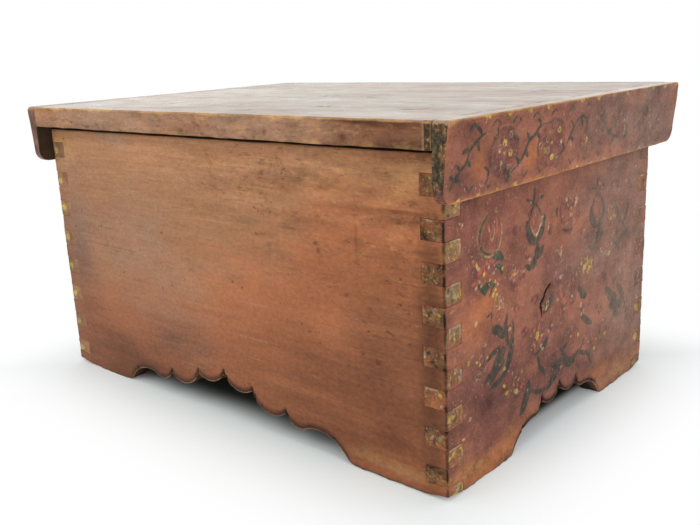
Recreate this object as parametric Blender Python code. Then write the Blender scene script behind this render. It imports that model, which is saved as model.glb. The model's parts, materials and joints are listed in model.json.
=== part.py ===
"""Painted wooden box with a pin-hinged lid.

A small finger-jointed chest. The lower edges of its four boards are cut as scalloped aprons between
corner feet, and its bottom is let into grooves. The lid has two end cleats that hang down outside the
box ends and turn on wooden pins near the back. Metres, +Z up, the front towards -Y.
"""

from math import acos, atan2, cos, pi, radians, sin, tau

import bmesh
import bpy

# Case, over the outside of the boards
CASE_LENGTH = 0.4000
CASE_DEPTH = 0.2705
CASE_HEIGHT = 0.2095
BOARD_THICKNESS = 0.0160

# Finger joints at the four corners
FINGER_HEIGHT = 0.0125
FOOT_FINGER_HEIGHT = 0.0083
JOINT_GAP = 0.0003

# Scalloped lower edges, as half outlines (distance from the middle, height above the floor).
# Each starts at the middle cusp and goes out to the foot. An arc begins where the last one ended
# and is given by a point on it and its end.
LONG_APRON_CUSP = 0.0345
LONG_APRON_ARCS = (
    ((0.0140, 0.0250), (0.0305, 0.0285)),
    ((0.0470, 0.0152), (0.0640, 0.0205)),
    ((0.0740, 0.0130), (0.0860, 0.0155)),
    ((0.1045, 0.0150), (0.1230, 0.0000)),
)
END_APRON_CUSP = 0.0295
END_APRON_ARCS = (
    ((0.0115, 0.0208), (0.0250, 0.0262)),
    ((0.0288, 0.0186), (0.0355, 0.0175)),
    ((0.0525, 0.0122), (0.0630, 0.0000)),
)
ARC_STEPS = 7

# Bottom board and the stopped grooves that hold it
BOTTOM_THICKNESS = 0.0120
BOTTOM_HEIGHT = 0.0400
GROOVE_DEPTH = 0.0050
GROOVE_STOP = 0.0030

# Lid board
LID_THICKNESS = 0.0160
LID_FRONT_OVERHANG = 0.0220
LID_BACK_OVERHANG = 0.0123
LID_GAP = 0.0003
LID_EDGE_RADIUS = 0.0016

# Cleats on the lid's ends, thinner towards their lower edge
CLEAT_CLEARANCE = 0.0014
CLEAT_TOP_THICKNESS = 0.0112
CLEAT_FOOT_THICKNESS = 0.0066
CLEAT_DROP = 0.0290
CLEAT_FOOT_RADIUS = 0.0085
CLEAT_TOP_RADIUS = 0.0030
CLEAT_EDGE_RADIUS = 0.0012

# Wooden pegs that hold the cleats to the lid's end grain
PEG_COUNT = 4
PEG_DIAMETER = 0.0060
PEG_DEPTH = 0.0280
PEG_INSET = 0.0340
PIN_CLEARANCE = 0.0003

# Wooden hinge pins, set from the back face and from the lid's underside
HINGE_INSET = 0.0070
HINGE_DROP = 0.0090
HINGE_PIN_DIAMETER = 0.0050
HINGE_PIN_DEPTH = 0.0240
HINGE_HOLE_LAND = 0.0014
ROD_SIDES = 20

# How far a cutter reaches past the face that it opens
CUT_MARGIN = 0.0040

# Places worked out from the sizes above
LID_UNDERSIDE = CASE_HEIGHT + LID_GAP
LID_TOP = LID_UNDERSIDE + LID_THICKNESS
LID_FRONT = -CASE_DEPTH / 2 - LID_FRONT_OVERHANG
LID_BACK = CASE_DEPTH / 2 + LID_BACK_OVERHANG
CASE_CENTRE_Y = (LID_FRONT_OVERHANG - LID_BACK_OVERHANG) / 2
CLEAT_INNER = CASE_LENGTH / 2 + CLEAT_CLEARANCE
CLEAT_FOOT = LID_UNDERSIDE - CLEAT_DROP
LID_END = CLEAT_INNER - JOINT_GAP
INNER_HALF_LENGTH = CASE_LENGTH / 2 - BOARD_THICKNESS
INNER_HALF_DEPTH = CASE_DEPTH / 2 - BOARD_THICKNESS
HINGE_Y = CASE_DEPTH / 2 - HINGE_INSET
HINGE_Z = LID_UNDERSIDE - HINGE_DROP
HINGE_HOLE_RADIUS = HINGE_PIN_DIAMETER / 2 + PIN_CLEARANCE
PEG_HOLE_RADIUS = PEG_DIAMETER / 2 + PIN_CLEARANCE
PEG_Z = LID_UNDERSIDE + LID_THICKNESS / 2
LEAST_TOP_FINGER = CASE_HEIGHT - HINGE_Z + HINGE_HOLE_RADIUS + HINGE_HOLE_LAND

# Colours of the worn paint and of the bare wood
PAINT_RED_BROWN = (0.20, 0.065, 0.045)
BARE_WOOD = (0.33, 0.15, 0.07)
LID_WOOD = (0.28, 0.17, 0.11)
INNER_WOOD = (0.36, 0.21, 0.11)
PIN_WOOD = (0.22, 0.11, 0.06)


def clear_scene():
    for item in list(bpy.data.objects):
        bpy.data.objects.remove(item, do_unlink=True)


def wood(name, colour, roughness):
    """A wood or paint finish as one Principled surface."""
    finish = bpy.data.materials.new(name)
    finish.use_nodes = True
    shader = finish.node_tree.nodes["Principled BSDF"]
    shader.inputs["Base Color"].default_value = (*colour, 1.0)
    shader.inputs["Roughness"].default_value = roughness
    shader.inputs["Metallic"].default_value = 0.0
    return finish


def empty(name, location, parent=None):
    """A frame that pieces hang from."""
    frame = bpy.data.objects.new(name, None)
    frame.location = location
    frame.parent = parent
    bpy.context.scene.collection.objects.link(frame)
    return frame


def add_piece(name, shape, parent, finish=None, origin=(0.0, 0.0, 0.0)):
    """Turns a bmesh drawn in the case's frame into an object with its origin at the parent frame."""
    bmesh.ops.recalc_face_normals(shape, faces=shape.faces)
    bmesh.ops.translate(shape, verts=shape.verts, vec=[-value for value in origin])
    mesh = bpy.data.meshes.new(name)
    shape.to_mesh(mesh)
    shape.free()
    piece = bpy.data.objects.new(name, mesh)
    piece.parent = parent
    bpy.context.scene.collection.objects.link(piece)
    if finish:
        mesh.materials.append(finish)
    return piece


def add_cutter(name, shape, parent, origin=(0.0, 0.0, 0.0)):
    cutter = add_piece(name, shape, parent, origin=origin)
    cutter.hide_render = True
    cutter.display_type = "WIRE"
    return cutter


def cut(piece, cutter):
    """Takes the cutter's shape out of the piece."""
    change = piece.modifiers.new(cutter.name, "BOOLEAN")
    change.operation = "DIFFERENCE"
    change.solver = "EXACT"
    change.object = cutter


def smooth_round(piece):
    piece.data.shade_smooth()
    piece.data.set_sharp_from_angle(angle=radians(35))


def arc(start, middle, end):
    """Points after start on the circle through three points, up to and with the end."""
    (ax, ay), (bx, by), (cx, cy) = start, middle, end
    twice_area = 2 * (ax * (by - cy) + bx * (cy - ay) + cx * (ay - by))
    a, b, c = ax * ax + ay * ay, bx * bx + by * by, cx * cx + cy * cy
    x = (a * (by - cy) + b * (cy - ay) + c * (ay - by)) / twice_area
    y = (a * (cx - bx) + b * (ax - cx) + c * (bx - ax)) / twice_area
    first = atan2(ay - y, ax - x)
    turn = (atan2(cy - y, cx - x) - first) % tau
    if (atan2(by - y, bx - x) - first) % tau > turn:
        turn -= tau
    radius = ((ax - x) ** 2 + (ay - y) ** 2) ** 0.5
    angles = [first + turn * step / ARC_STEPS for step in range(1, ARC_STEPS + 1)]
    return [(x + radius * cos(angle), y + radius * sin(angle)) for angle in angles]


def apron(cusp, arcs):
    """The scalloped lower edge from the left foot to the right one."""
    half = [(0.0, cusp)]
    for middle, end in arcs:
        half += arc(half[-1], middle, end)
    mirrored = [(-across, height) for across, height in reversed(half[1:])]
    return mirrored + half


def finger_spans():
    """Heights of the end boards' fingers, low and high, up the corner."""
    pitch = 2 * FINGER_HEIGHT
    room = CASE_HEIGHT - FOOT_FINGER_HEIGHT - LEAST_TOP_FINGER + FINGER_HEIGHT
    lows = [FOOT_FINGER_HEIGHT + pitch * row for row in range(int(room / pitch))]
    return [(low, low + FINGER_HEIGHT) for low in lows]


def corner_edge(outer, inner, spans, grow):
    """One upright edge of a board, stepping from outer to inner over the spans, from floor to top."""
    edge = [(outer, 0.0)]
    for low, high in spans:
        edge += [(outer, low - grow), (inner, low - grow), (inner, high + grow), (outer, high + grow)]
    return edge + [(outer, CASE_HEIGHT)]


def wall_outline(right_edge, lower_edge):
    """A board's outline with the same edge at both ends."""
    left_edge = [(-across, height) for across, height in reversed(right_edge)]
    return lower_edge + right_edge + left_edge


def prism(outline, axis, start, end):
    """A flat outline carried straight along one axis. The outline's values are the other two axes in order."""
    shape = bmesh.new()
    corners = []
    for first, second in outline:
        place = [first, second]
        place.insert("XYZ".index(axis), start)
        corners.append(shape.verts.new(place))
    shape.faces.new(corners)
    made = bmesh.ops.extrude_face_region(shape, geom=shape.faces[:])
    moved = [item for item in made["geom"] if isinstance(item, bmesh.types.BMVert)]
    step = [0.0, 0.0, 0.0]
    step["XYZ".index(axis)] = end - start
    bmesh.ops.translate(shape, verts=moved, vec=step)
    return shape


def box(low, high):
    (x0, y0, z0), (x1, y1, z1) = low, high
    return prism([(x0, y0), (x1, y0), (x1, y1), (x0, y1)], "Z", z0, z1)


def cleat_outer(height):
    """How far out the cleat's tapered outer face lies at a height."""
    rise = (height - CLEAT_FOOT) / (LID_TOP - CLEAT_FOOT)
    return CLEAT_INNER + CLEAT_FOOT_THICKNESS + (CLEAT_TOP_THICKNESS - CLEAT_FOOT_THICKNESS) * rise


def add_rod(shape, side, y, z, radius, inner_end, outer_end):
    """A round rod along X. outer_end gives the place of its outer end at a height."""
    angles = [tau * step / ROD_SIDES for step in range(ROD_SIDES)]
    ring = [(y + radius * cos(angle), z + radius * sin(angle)) for angle in angles]
    inner = [shape.verts.new((side * inner_end, across, height)) for across, height in ring]
    outer = [shape.verts.new((side * outer_end(height), across, height)) for across, height in ring]
    shape.faces.new(inner)
    shape.faces.new(outer)
    for here in range(ROD_SIDES):
        after = (here + 1) % ROD_SIDES
        shape.faces.new((inner[here], inner[after], outer[after], outer[here]))


def peg_places():
    """Where the pegs stand along a cleat."""
    first, last = LID_FRONT + PEG_INSET, LID_BACK - PEG_INSET
    return [first + (last - first) * index / (PEG_COUNT - 1) for index in range(PEG_COUNT)]


def past_cleat(height):
    return cleat_outer(height) + CUT_MARGIN


def build_long_boards(case, finishes):
    """Front and back boards. Their fingers run out to the ends, and the end boards' fingers pass between."""
    half_gap = JOINT_GAP / 2
    edge = corner_edge(CASE_LENGTH / 2, INNER_HALF_LENGTH - JOINT_GAP, finger_spans(), half_gap)
    outline = wall_outline(edge, apron(LONG_APRON_CUSP, LONG_APRON_ARCS))
    boards = {}
    for name, side in (("front_board", -1), ("back_board", 1)):
        shape = prism(outline, "Y", side * INNER_HALF_DEPTH, side * CASE_DEPTH / 2)
        boards[name] = add_piece(name, shape, case, finishes[name])
        reach = INNER_HALF_LENGTH - GROOVE_STOP
        near, far = sorted((side * (INNER_HALF_DEPTH - CUT_MARGIN), side * (INNER_HALF_DEPTH + GROOVE_DEPTH)))
        cut(boards[name], add_cutter(f"{name}_groove", groove_box((-reach, near), (reach, far)), case))
    cut(boards["back_board"], add_cutter("hinge_edge_round", hinge_edge_round(), case))
    holes = bmesh.new()
    for side in (-1, 1):
        deep_end = CASE_LENGTH / 2 - HINGE_PIN_DEPTH - PIN_CLEARANCE
        add_rod(holes, side, HINGE_Y, HINGE_Z, HINGE_HOLE_RADIUS, deep_end, past_cleat)
    cut(boards["back_board"], add_cutter("hinge_pin_holes", holes, case))


def build_end_boards(case, finishes):
    """Left and right boards, whose fingers reach through to the front and back faces."""
    edge = corner_edge(INNER_HALF_DEPTH - JOINT_GAP, CASE_DEPTH / 2, finger_spans(), -JOINT_GAP / 2)
    outline = wall_outline(edge, apron(END_APRON_CUSP, END_APRON_ARCS))
    for name, side in (("left_end_board", -1), ("right_end_board", 1)):
        board = add_piece(
            name, prism(outline, "X", side * INNER_HALF_LENGTH, side * CASE_LENGTH / 2), case, finishes[name]
        )
        reach = INNER_HALF_DEPTH - GROOVE_STOP
        near, far = sorted((side * (INNER_HALF_LENGTH - CUT_MARGIN), side * (INNER_HALF_LENGTH + GROOVE_DEPTH)))
        cut(board, add_cutter(f"{name}_groove", groove_box((near, -reach), (far, reach)), case))


def groove_box(low, high):
    """The room for the bottom board's edge, a gap taller than the board above and below."""
    return box(
        (*low, BOTTOM_HEIGHT - JOINT_GAP),
        (*high, BOTTOM_HEIGHT + BOTTOM_THICKNESS + JOINT_GAP),
    )


def hinge_edge_round():
    """What is taken off the back board's top edge so that it follows a circle about the hinge line."""
    radius = CASE_HEIGHT - HINGE_Z
    steep = acos(min(1.0, (HINGE_INSET + JOINT_GAP) / radius))
    angles = [pi / 2 + (steep - pi / 2) * step / ARC_STEPS for step in range(ARC_STEPS + 1)]
    profile = [(HINGE_Y + radius * cos(angle), HINGE_Z + radius * sin(angle)) for angle in angles]
    outside = CASE_DEPTH / 2 + CUT_MARGIN
    above = CASE_HEIGHT + CUT_MARGIN
    profile += [(outside, profile[-1][1]), (outside, above), (HINGE_Y, above)]
    reach = CASE_LENGTH / 2 + CUT_MARGIN
    return prism(profile, "X", -reach, reach)


def build_bottom(case, finish):
    """Bottom board with a tongue on each side and notched corners."""
    long_reach = INNER_HALF_LENGTH + GROOVE_DEPTH - JOINT_GAP
    deep_reach = INNER_HALF_DEPTH + GROOVE_DEPTH - JOINT_GAP
    body = (INNER_HALF_LENGTH - JOINT_GAP, INNER_HALF_DEPTH - JOINT_GAP)
    tongue = (body[0] - GROOVE_STOP, body[1] - GROOVE_STOP)
    quarter = [
        (long_reach, tongue[1]),
        (body[0], tongue[1]),
        (body[0], body[1]),
        (tongue[0], body[1]),
        (tongue[0], deep_reach),
    ]
    half = quarter + [(-x, y) for x, y in reversed(quarter)]
    outline = half + [(-x, -y) for x, y in half]
    top = BOTTOM_HEIGHT + BOTTOM_THICKNESS
    add_piece("bottom_board", prism(outline, "Z", BOTTOM_HEIGHT, top), case, finish)


def build_lid_board(hinge, hinge_place, finish):
    """Lid board with softened long edges and blind peg holes in its end grain."""
    shape = box((-LID_END, LID_FRONT, LID_UNDERSIDE), (LID_END, LID_BACK, LID_TOP))
    long_edges = [edge for edge in shape.edges if edge.calc_length() > 2 * LID_END - JOINT_GAP]
    bmesh.ops.bevel(
        shape, geom=long_edges, offset=LID_EDGE_RADIUS, segments=3, profile=0.5, affect="EDGES"
    )
    lid = add_piece("lid_board", shape, hinge, finish, hinge_place)
    holes = bmesh.new()
    for side in (-1, 1):
        for y in peg_places():
            deep_end = LID_END - PEG_DEPTH - PIN_CLEARANCE
            add_rod(holes, side, y, PEG_Z, PEG_HOLE_RADIUS, deep_end, past_cleat)
    cut(lid, add_cutter("lid_peg_holes", holes, hinge, hinge_place))


def cleat_outline():
    """A cleat's length and height, with round lower corners and softer upper ones."""
    corners = (
        (LID_FRONT, CLEAT_FOOT, CLEAT_FOOT_RADIUS, pi),
        (LID_BACK, CLEAT_FOOT, CLEAT_FOOT_RADIUS, 1.5 * pi),
        (LID_BACK, LID_TOP, CLEAT_TOP_RADIUS, 0.0),
        (LID_FRONT, LID_TOP, CLEAT_TOP_RADIUS, 0.5 * pi),
    )
    outline = []
    for y, z, radius, first in corners:
        centre_y = y - radius if y > 0 else y + radius
        centre_z = z - radius if z > CLEAT_FOOT else z + radius
        for step in range(ARC_STEPS + 1):
            angle = first + pi / 2 * step / ARC_STEPS
            outline.append((centre_y + radius * cos(angle), centre_z + radius * sin(angle)))
    return outline


def build_cleat(name, side, hinge, hinge_place, finish):
    """One cleat: its outline drawn on the inner face and on the tapered outer face."""
    shape = bmesh.new()
    outline = cleat_outline()
    inner = [shape.verts.new((side * CLEAT_INNER, y, z)) for y, z in outline]
    outer = [shape.verts.new((side * cleat_outer(z), y, z)) for y, z in outline]
    shape.faces.new(inner)
    outer_face = shape.faces.new(outer)
    for here in range(len(outline)):
        after = (here + 1) % len(outline)
        shape.faces.new((inner[here], inner[after], outer[after], outer[here]))
    bmesh.ops.bevel(
        shape, geom=outer_face.edges[:], offset=CLEAT_EDGE_RADIUS, segments=2, profile=0.5, affect="EDGES"
    )
    cleat = add_piece(f"{name}_cleat", shape, hinge, finish, hinge_place)
    holes = bmesh.new()
    for y in peg_places():
        add_rod(holes, side, y, PEG_Z, PEG_HOLE_RADIUS, CLEAT_INNER - CUT_MARGIN, past_cleat)
    add_rod(holes, side, HINGE_Y, HINGE_Z, HINGE_HOLE_RADIUS, CLEAT_INNER - CUT_MARGIN, past_cleat)
    cut(cleat, add_cutter(f"{name}_cleat_holes", holes, hinge, hinge_place))


def build_rods(name, side, hinge, hinge_place, finish):
    """The pegs and the hinge pin of one cleat, trimmed flush with its outer face."""
    for number, y in enumerate(peg_places(), 1):
        shape = bmesh.new()
        add_rod(shape, side, y, PEG_Z, PEG_DIAMETER / 2, LID_END - PEG_DEPTH, cleat_outer)
        smooth_round(add_piece(f"{name}_cleat_peg_{number}", shape, hinge, finish, hinge_place))
    shape = bmesh.new()
    deep_end = CASE_LENGTH / 2 - HINGE_PIN_DEPTH
    add_rod(shape, side, HINGE_Y, HINGE_Z, HINGE_PIN_DIAMETER / 2, deep_end, cleat_outer)
    smooth_round(add_piece(f"{name}_hinge_pin", shape, hinge, finish, hinge_place))


def main():
    clear_scene()
    paint = wood("worn_red_brown_paint", PAINT_RED_BROWN, 0.55)
    bare = wood("bare_worn_wood", BARE_WOOD, 0.5)
    inner = wood("inner_wood", INNER_WOOD, 0.7)
    lid_wood = wood("lid_wood", LID_WOOD, 0.4)
    pin_wood = wood("pin_wood", PIN_WOOD, 0.6)
    case = empty("case_frame", (0.0, CASE_CENTRE_Y, 0.0))
    hinge_place = (0.0, HINGE_Y, HINGE_Z)
    hinge = empty("lid_hinge", hinge_place, case)
    finishes = {"front_board": paint, "back_board": bare, "left_end_board": paint, "right_end_board": paint}
    build_long_boards(case, finishes)
    build_end_boards(case, finishes)
    build_bottom(case, inner)
    build_lid_board(hinge, hinge_place, lid_wood)
    for name, side in (("left", -1), ("right", 1)):
        build_cleat(name, side, hinge, hinge_place, paint)
        build_rods(name, side, hinge, hinge_place, pin_wood)


main()
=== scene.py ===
"""Hinged wooden box with worn folk flower painting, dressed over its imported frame.

Every board is drawn again as a fine closed mesh with worn edges. The paint is kept on the mesh as
layers of distances in millimetres, positive inside a stroke, and the materials turn them into worn
brush strokes over grain. Metres, +Z up, the front towards -Y, the plain back towards +Y.
"""

import json
from math import cos, pi, radians, sin, sqrt

import bpy
import numpy as np
from bpy.props import FloatProperty, FloatVectorProperty, IntProperty, PointerProperty
from mathutils import Matrix, Vector


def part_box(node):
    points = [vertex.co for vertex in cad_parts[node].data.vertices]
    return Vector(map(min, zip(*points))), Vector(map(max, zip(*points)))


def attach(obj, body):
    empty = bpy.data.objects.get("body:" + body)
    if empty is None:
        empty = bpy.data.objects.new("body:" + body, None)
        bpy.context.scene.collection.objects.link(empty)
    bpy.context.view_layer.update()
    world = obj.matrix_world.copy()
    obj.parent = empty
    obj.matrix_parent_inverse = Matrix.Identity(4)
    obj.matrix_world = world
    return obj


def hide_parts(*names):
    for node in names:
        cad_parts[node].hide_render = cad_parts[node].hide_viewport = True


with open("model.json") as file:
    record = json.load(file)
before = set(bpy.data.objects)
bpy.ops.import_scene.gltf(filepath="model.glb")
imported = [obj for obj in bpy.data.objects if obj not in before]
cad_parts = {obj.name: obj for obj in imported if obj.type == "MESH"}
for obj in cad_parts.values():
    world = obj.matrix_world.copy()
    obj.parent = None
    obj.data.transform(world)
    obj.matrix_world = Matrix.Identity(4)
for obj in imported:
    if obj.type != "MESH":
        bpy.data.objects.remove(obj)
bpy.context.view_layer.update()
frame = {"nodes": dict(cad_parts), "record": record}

bl_info = {
    "name": "Painted Wooden Box",
    "version": (1, 0, 0),
    "blender": (4, 5, 0),
    "location": "3D View > Sidebar > Painted Box",
    "description": "Worn boards, folk painting and stage of a hinged wooden box",
    "category": "Object",
}

TO_MM = 1000
FAR_OUTSIDE = -9.0
PAINT_LAYERS = ("tile", "bloom", "petal", "leaf", "green", "dot", "cream", "split")
SHADE_LAYERS = ("ground", "worn", "tone", "gold", "grey", "rough")
PAINT_DEPTH = 0.62
PAINT_STRENGTH = {
    "tile": 0.88, "bloom": 0.7, "petal": 0.8, "leaf": 0.88, "green": 0.9, "dot": 0.88, "cream": 0.66
}


def colour_setting(name, description, value):
    return FloatVectorProperty(
        name=name, description=description, default=value, subtype="COLOR", size=3, min=0.0, max=1.0
    )


def length_setting(name, description, value):
    return FloatProperty(
        name=name, description=description, default=value, unit="LENGTH", min=0.0, precision=5
    )


def share_setting(name, description, value):
    return FloatProperty(
        name=name, description=description, default=value, subtype="FACTOR", min=0.0, max=1.0
    )


def unit_setting(name, description, value, unit):
    return FloatProperty(name=name, description=description, default=value, unit=unit)


class BoxSizes(bpy.types.PropertyGroup):
    """Sizes of the worn surface. The boards' own sizes come from the frame."""

    board_step: length_setting("Board step", "Spacing of the mesh over an end board", 0.00118)
    long_step: length_setting("Long board step", "Spacing of the mesh over a front or back board", 0.0014)
    lid_step: length_setting("Lid step", "Spacing of the mesh over the lid", 0.0019)
    cleat_step: length_setting("Cleat step", "Spacing of the mesh over a cleat", 0.00085)
    bottom_step: length_setting("Bottom step", "Spacing of the mesh over the bottom board", 0.003)
    edge_step: length_setting("Edge step", "Width of the first row of faces beside an edge", 0.00045)
    dent_depth: length_setting("Dent depth", "Depth of the dents and plane marks in a face", 0.00022)
    split_depth: length_setting("Split depth", "Depth of a split or worm hole", 0.0016)
    peg_swell: length_setting("Peg swell", "Height of the paint that bridges a peg's end", 0.00026)
    edge_wear: share_setting("Edge wear", "How strongly the outer edges are rubbed round", 0.62)
    joint_wear: share_setting("Joint wear", "How strongly the finger joints are rubbed round", 0.11)
    joint_fill: length_setting(
        "Joint fill", "How far paint and dirt fill each side of a finger joint", 0.0001
    )
    foot_wear: share_setting("Foot wear", "How strongly the soles of the feet are rubbed round", 0.85)
    scallop_wear: share_setting("Scallop wear", "How strongly the scalloped edges are rubbed round", 0.28)
    foot_round: length_setting("Foot round", "How much of a foot's outer corner is worn away", 0.0034)
    wear_rounds: IntProperty(
        name="Wear rounds", description="Passes of rubbing over the edges", default=9, min=0
    )


class BoxColours(bpy.types.PropertyGroup):
    """Colours of the woods and paints."""

    wood_pale: colour_setting("Pale wood", "Early wood of the bare back", (0.435, 0.215, 0.105))
    wood_dark: colour_setting("Dark wood", "Late wood of the bare back", (0.265, 0.110, 0.048))
    # Also the colour of painted shade on the back board, which its tone layer carries.
    stain: colour_setting("Stain", "Dark handling stain on the bare back", (0.130, 0.042, 0.017))
    dust: colour_setting("Dust", "Greyish mauve dust and bloom", (0.278, 0.183, 0.137))
    inner_pale: colour_setting("Pale inner wood", "Early wood of the raw inside", (0.440, 0.275, 0.150))
    inner_dark: colour_setting("Dark inner wood", "Late wood of the raw inside", (0.265, 0.140, 0.066))
    lid_pale: colour_setting("Pale lid wood", "Rubbed wood of the lid", (0.405, 0.265, 0.130))
    lid_dark: colour_setting("Dark lid wood", "Stained grain of the lid", (0.135, 0.082, 0.038))
    end_grain: colour_setting("End grain", "Dark olive end grain of the cleats", (0.130, 0.088, 0.042))
    rubbed_gold: colour_setting("Rubbed gold", "Golden wood on rubbed corners", (0.520, 0.285, 0.105))
    ground_red: colour_setting("Red ground", "Red-brown ground paint", (0.335, 0.122, 0.073))
    ground_deep: colour_setting("Deep ground", "Maroon wash in the ground paint", (0.190, 0.066, 0.049))
    rubbed_orange: colour_setting(
        "Rubbed ground", "Ground rubbed thin to orange wood", (0.402, 0.134, 0.054)
    )
    tile: colour_setting("Olive", "Olive yellow on the finger tips", (0.300, 0.195, 0.068))
    bloom: colour_setting("Maroon", "Maroon of the flower heads", (0.085, 0.023, 0.027))
    petal: colour_setting("Coral red", "Bright red petals", (0.480, 0.110, 0.074))
    leaf: colour_setting("Leaf", "Nearly black grey-green of stems and leaves", (0.026, 0.036, 0.026))
    green: colour_setting("Green", "Greener strokes among the leaves", (0.012, 0.050, 0.034))
    dot: colour_setting("Yellow", "Yellow dots", (0.640, 0.420, 0.070))
    cream: colour_setting("Cream", "Cream outlines and dabs", (0.600, 0.430, 0.265))
    # Also the colour of the painted shadow line in the gap under the lid, on the back board.
    grime_and_shade: colour_setting("Grime", "Dirt in splits and corners", (0.018, 0.013, 0.010))


class BoxStage(bpy.types.PropertyGroup):
    """Floor, light and camera."""

    floor_colour: colour_setting("Floor", "Pale floor", (0.870, 0.930, 0.920))
    key_power: unit_setting("Key power", "Power of the large soft light", 10.5, "POWER")
    fill_power: unit_setting("Fill power", "Power of the side light", 9.0, "POWER")
    overhead_power: unit_setting("Overhead power", "Power of the light above", 15.0, "POWER")
    sky: share_setting("Sky", "Strength of the light from all round", 0.62)
    camera_place: FloatVectorProperty(
        name="Camera place",
        description="Where the photograph was taken from",
        default=(-0.46074, 0.50466, 0.26704),
        unit="LENGTH",
    )
    camera_turn: unit_setting(
        "Camera turn", "Turn of the camera about the upright", pi + 0.7361, "ROTATION"
    )
    camera_tilt: unit_setting("Camera tilt", "Tilt of the camera up from straight down", 1.3136, "ROTATION")
    camera_roll: unit_setting("Camera roll", "Roll of the camera", -0.0458, "ROTATION")
    lens: unit_setting("Lens", "Focal length", 43.358, "CAMERA")


# Meshes


def spread(marks, step, edge):
    """Places from the first mark to the last, with one at each mark and a closer one on each side of it."""
    places = [marks[0]]
    for start, end in zip(marks, marks[1:]):
        if end - start > 4 * edge:
            count = max(1, round((end - start - 2 * edge) / step))
            places.extend(np.linspace(start + edge, end - edge, count + 1))
        places.append(end)
    return np.array(places)


class Slab:
    """A closed block of quads over the kept cells of a grid: an outer face, an inner face and walls.

    spots holds each point's place in the grid as (across, up, through), faces its quads, and zones
    says for each face whether it is outer (0), inner (1) or a wall (2).
    """

    def __init__(self, columns, rows, depths, keep):
        across, up, through = len(columns), len(rows), len(depths)
        padded = np.pad(keep, 1)
        around = padded[:-1, :-1].astype(int) + padded[1:, :-1] + padded[:-1, 1:] + padded[1:, 1:]
        used = np.zeros((through, across, up), bool)
        used[0] = used[-1] = around > 0
        used[1:-1] = (around > 0) & (around < 4)
        number = np.full(used.shape, -1)
        number[used] = np.arange(used.sum())
        layer, column, row = np.nonzero(used)
        self.spots = np.stack([columns[column], rows[row], depths[layer]], axis=1)
        self.layer = layer
        i, j = np.nonzero(keep)
        outer, inner = number[0], number[-1]
        faces = [
            np.stack([outer[i, j], outer[i + 1, j], outer[i + 1, j + 1], outer[i, j + 1]], axis=1),
            np.stack([inner[i, j], inner[i, j + 1], inner[i + 1, j + 1], inner[i + 1, j]], axis=1),
        ]
        left, right = padded[:-1, 1:-1], padded[1:, 1:-1]
        below, above = padded[1:-1, :-1], padded[1:-1, 1:]
        for where, (i1, j1), (i2, j2) in (
            (right & ~left, (0, 0), (0, 1)),
            (left & ~right, (0, 1), (0, 0)),
            (above & ~below, (1, 0), (0, 0)),
            (below & ~above, (0, 0), (1, 0)),
        ):
            i, j = np.nonzero(where)
            first, second = (i + i1, j + j1), (i + i2, j + j2)
            for here, after in zip(number, number[1:]):
                faces.append(np.stack([here[first], here[second], after[second], after[first]], axis=1))
        sizes = [len(faces[0]), len(faces[1]), sum(len(part) for part in faces[2:])]
        self.faces = np.concatenate(faces)
        self.zones = np.repeat([0, 1, 2], sizes)


def face_normals(points, faces):
    a, b, c, d = (points[faces[:, corner]] for corner in range(4))
    normals = np.cross(c - a, d - b)
    return normals / np.maximum(np.linalg.norm(normals, axis=1, keepdims=True), 1e-12)


def gathered(index, values, count):
    """The sum of the values that fall on each of so many points, axis by axis."""
    return np.stack(
        [np.bincount(index, weights=values[:, axis], minlength=count) for axis in range(3)], axis=1
    )


def point_normals(points, faces):
    """The mean of the faces' directions at each point. It is shorter than 1 on an edge or corner."""
    normals = np.repeat(face_normals(points, faces), 4, axis=0)
    index = faces.ravel()
    count = np.maximum(np.bincount(index, minlength=len(points)), 1)
    return gathered(index, normals, len(points)) / count[:, None]


def edge_pairs(faces):
    pairs = np.concatenate([faces[:, [0, 1]], faces[:, [1, 2]], faces[:, [2, 3]], faces[:, [3, 0]]])
    return np.unique(np.sort(pairs, axis=1), axis=0)


def edge_distance(points, faces, pairs, rounds=9):
    """How far each point lies from the nearest sharp edge along the surface, up to a few rows of faces."""
    sharp = np.linalg.norm(point_normals(points, faces), axis=1) < 0.94
    distance = np.where(sharp, 0.0, 0.02)
    lengths = np.linalg.norm(points[pairs[:, 0]] - points[pairs[:, 1]], axis=1)
    for _ in range(rounds):
        np.minimum.at(distance, pairs[:, 0], distance[pairs[:, 1]] + lengths)
        np.minimum.at(distance, pairs[:, 1], distance[pairs[:, 0]] + lengths)
    return distance


def ripple(points, wave, seed, count=14):
    """Smooth waves of about that length in every direction, between -1 and 1."""
    draw = np.random.default_rng(seed)
    total = np.zeros(len(points))
    for _ in range(count):
        heading = draw.normal(size=3)
        heading *= 2 * pi / (wave * np.linalg.norm(heading) * draw.uniform(0.6, 1.8))
        total += np.sin(points @ heading + draw.uniform(0, 2 * pi))
    return total / sqrt(count)


def rub(points, pairs, weights, rounds):
    """Draws each point towards the middle of its neighbours by its weight, again and again."""
    count = np.bincount(pairs.ravel(), minlength=len(points))[:, None]
    first, second = pairs.T
    for _ in range(rounds):
        total = gathered(first, points[second], len(points)) + gathered(second, points[first], len(points))
        points = points + weights[:, None] * (total / count - points)
    return points


def outward(points, faces):
    """The faces, turned over if the block they close is inside out."""
    a, b, c, d = (points[faces[:, corner]] for corner in range(4))
    volume = (a * np.cross(b, c)).sum() + (a * np.cross(c, d)).sum()
    return faces if volume > 0 else faces[:, ::-1]


# How far from an edge the rubbing reaches, and where the dents begin
RUBBED_WIDTH = 0.0019
UNDENTED_WIDTH = 0.003


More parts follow.
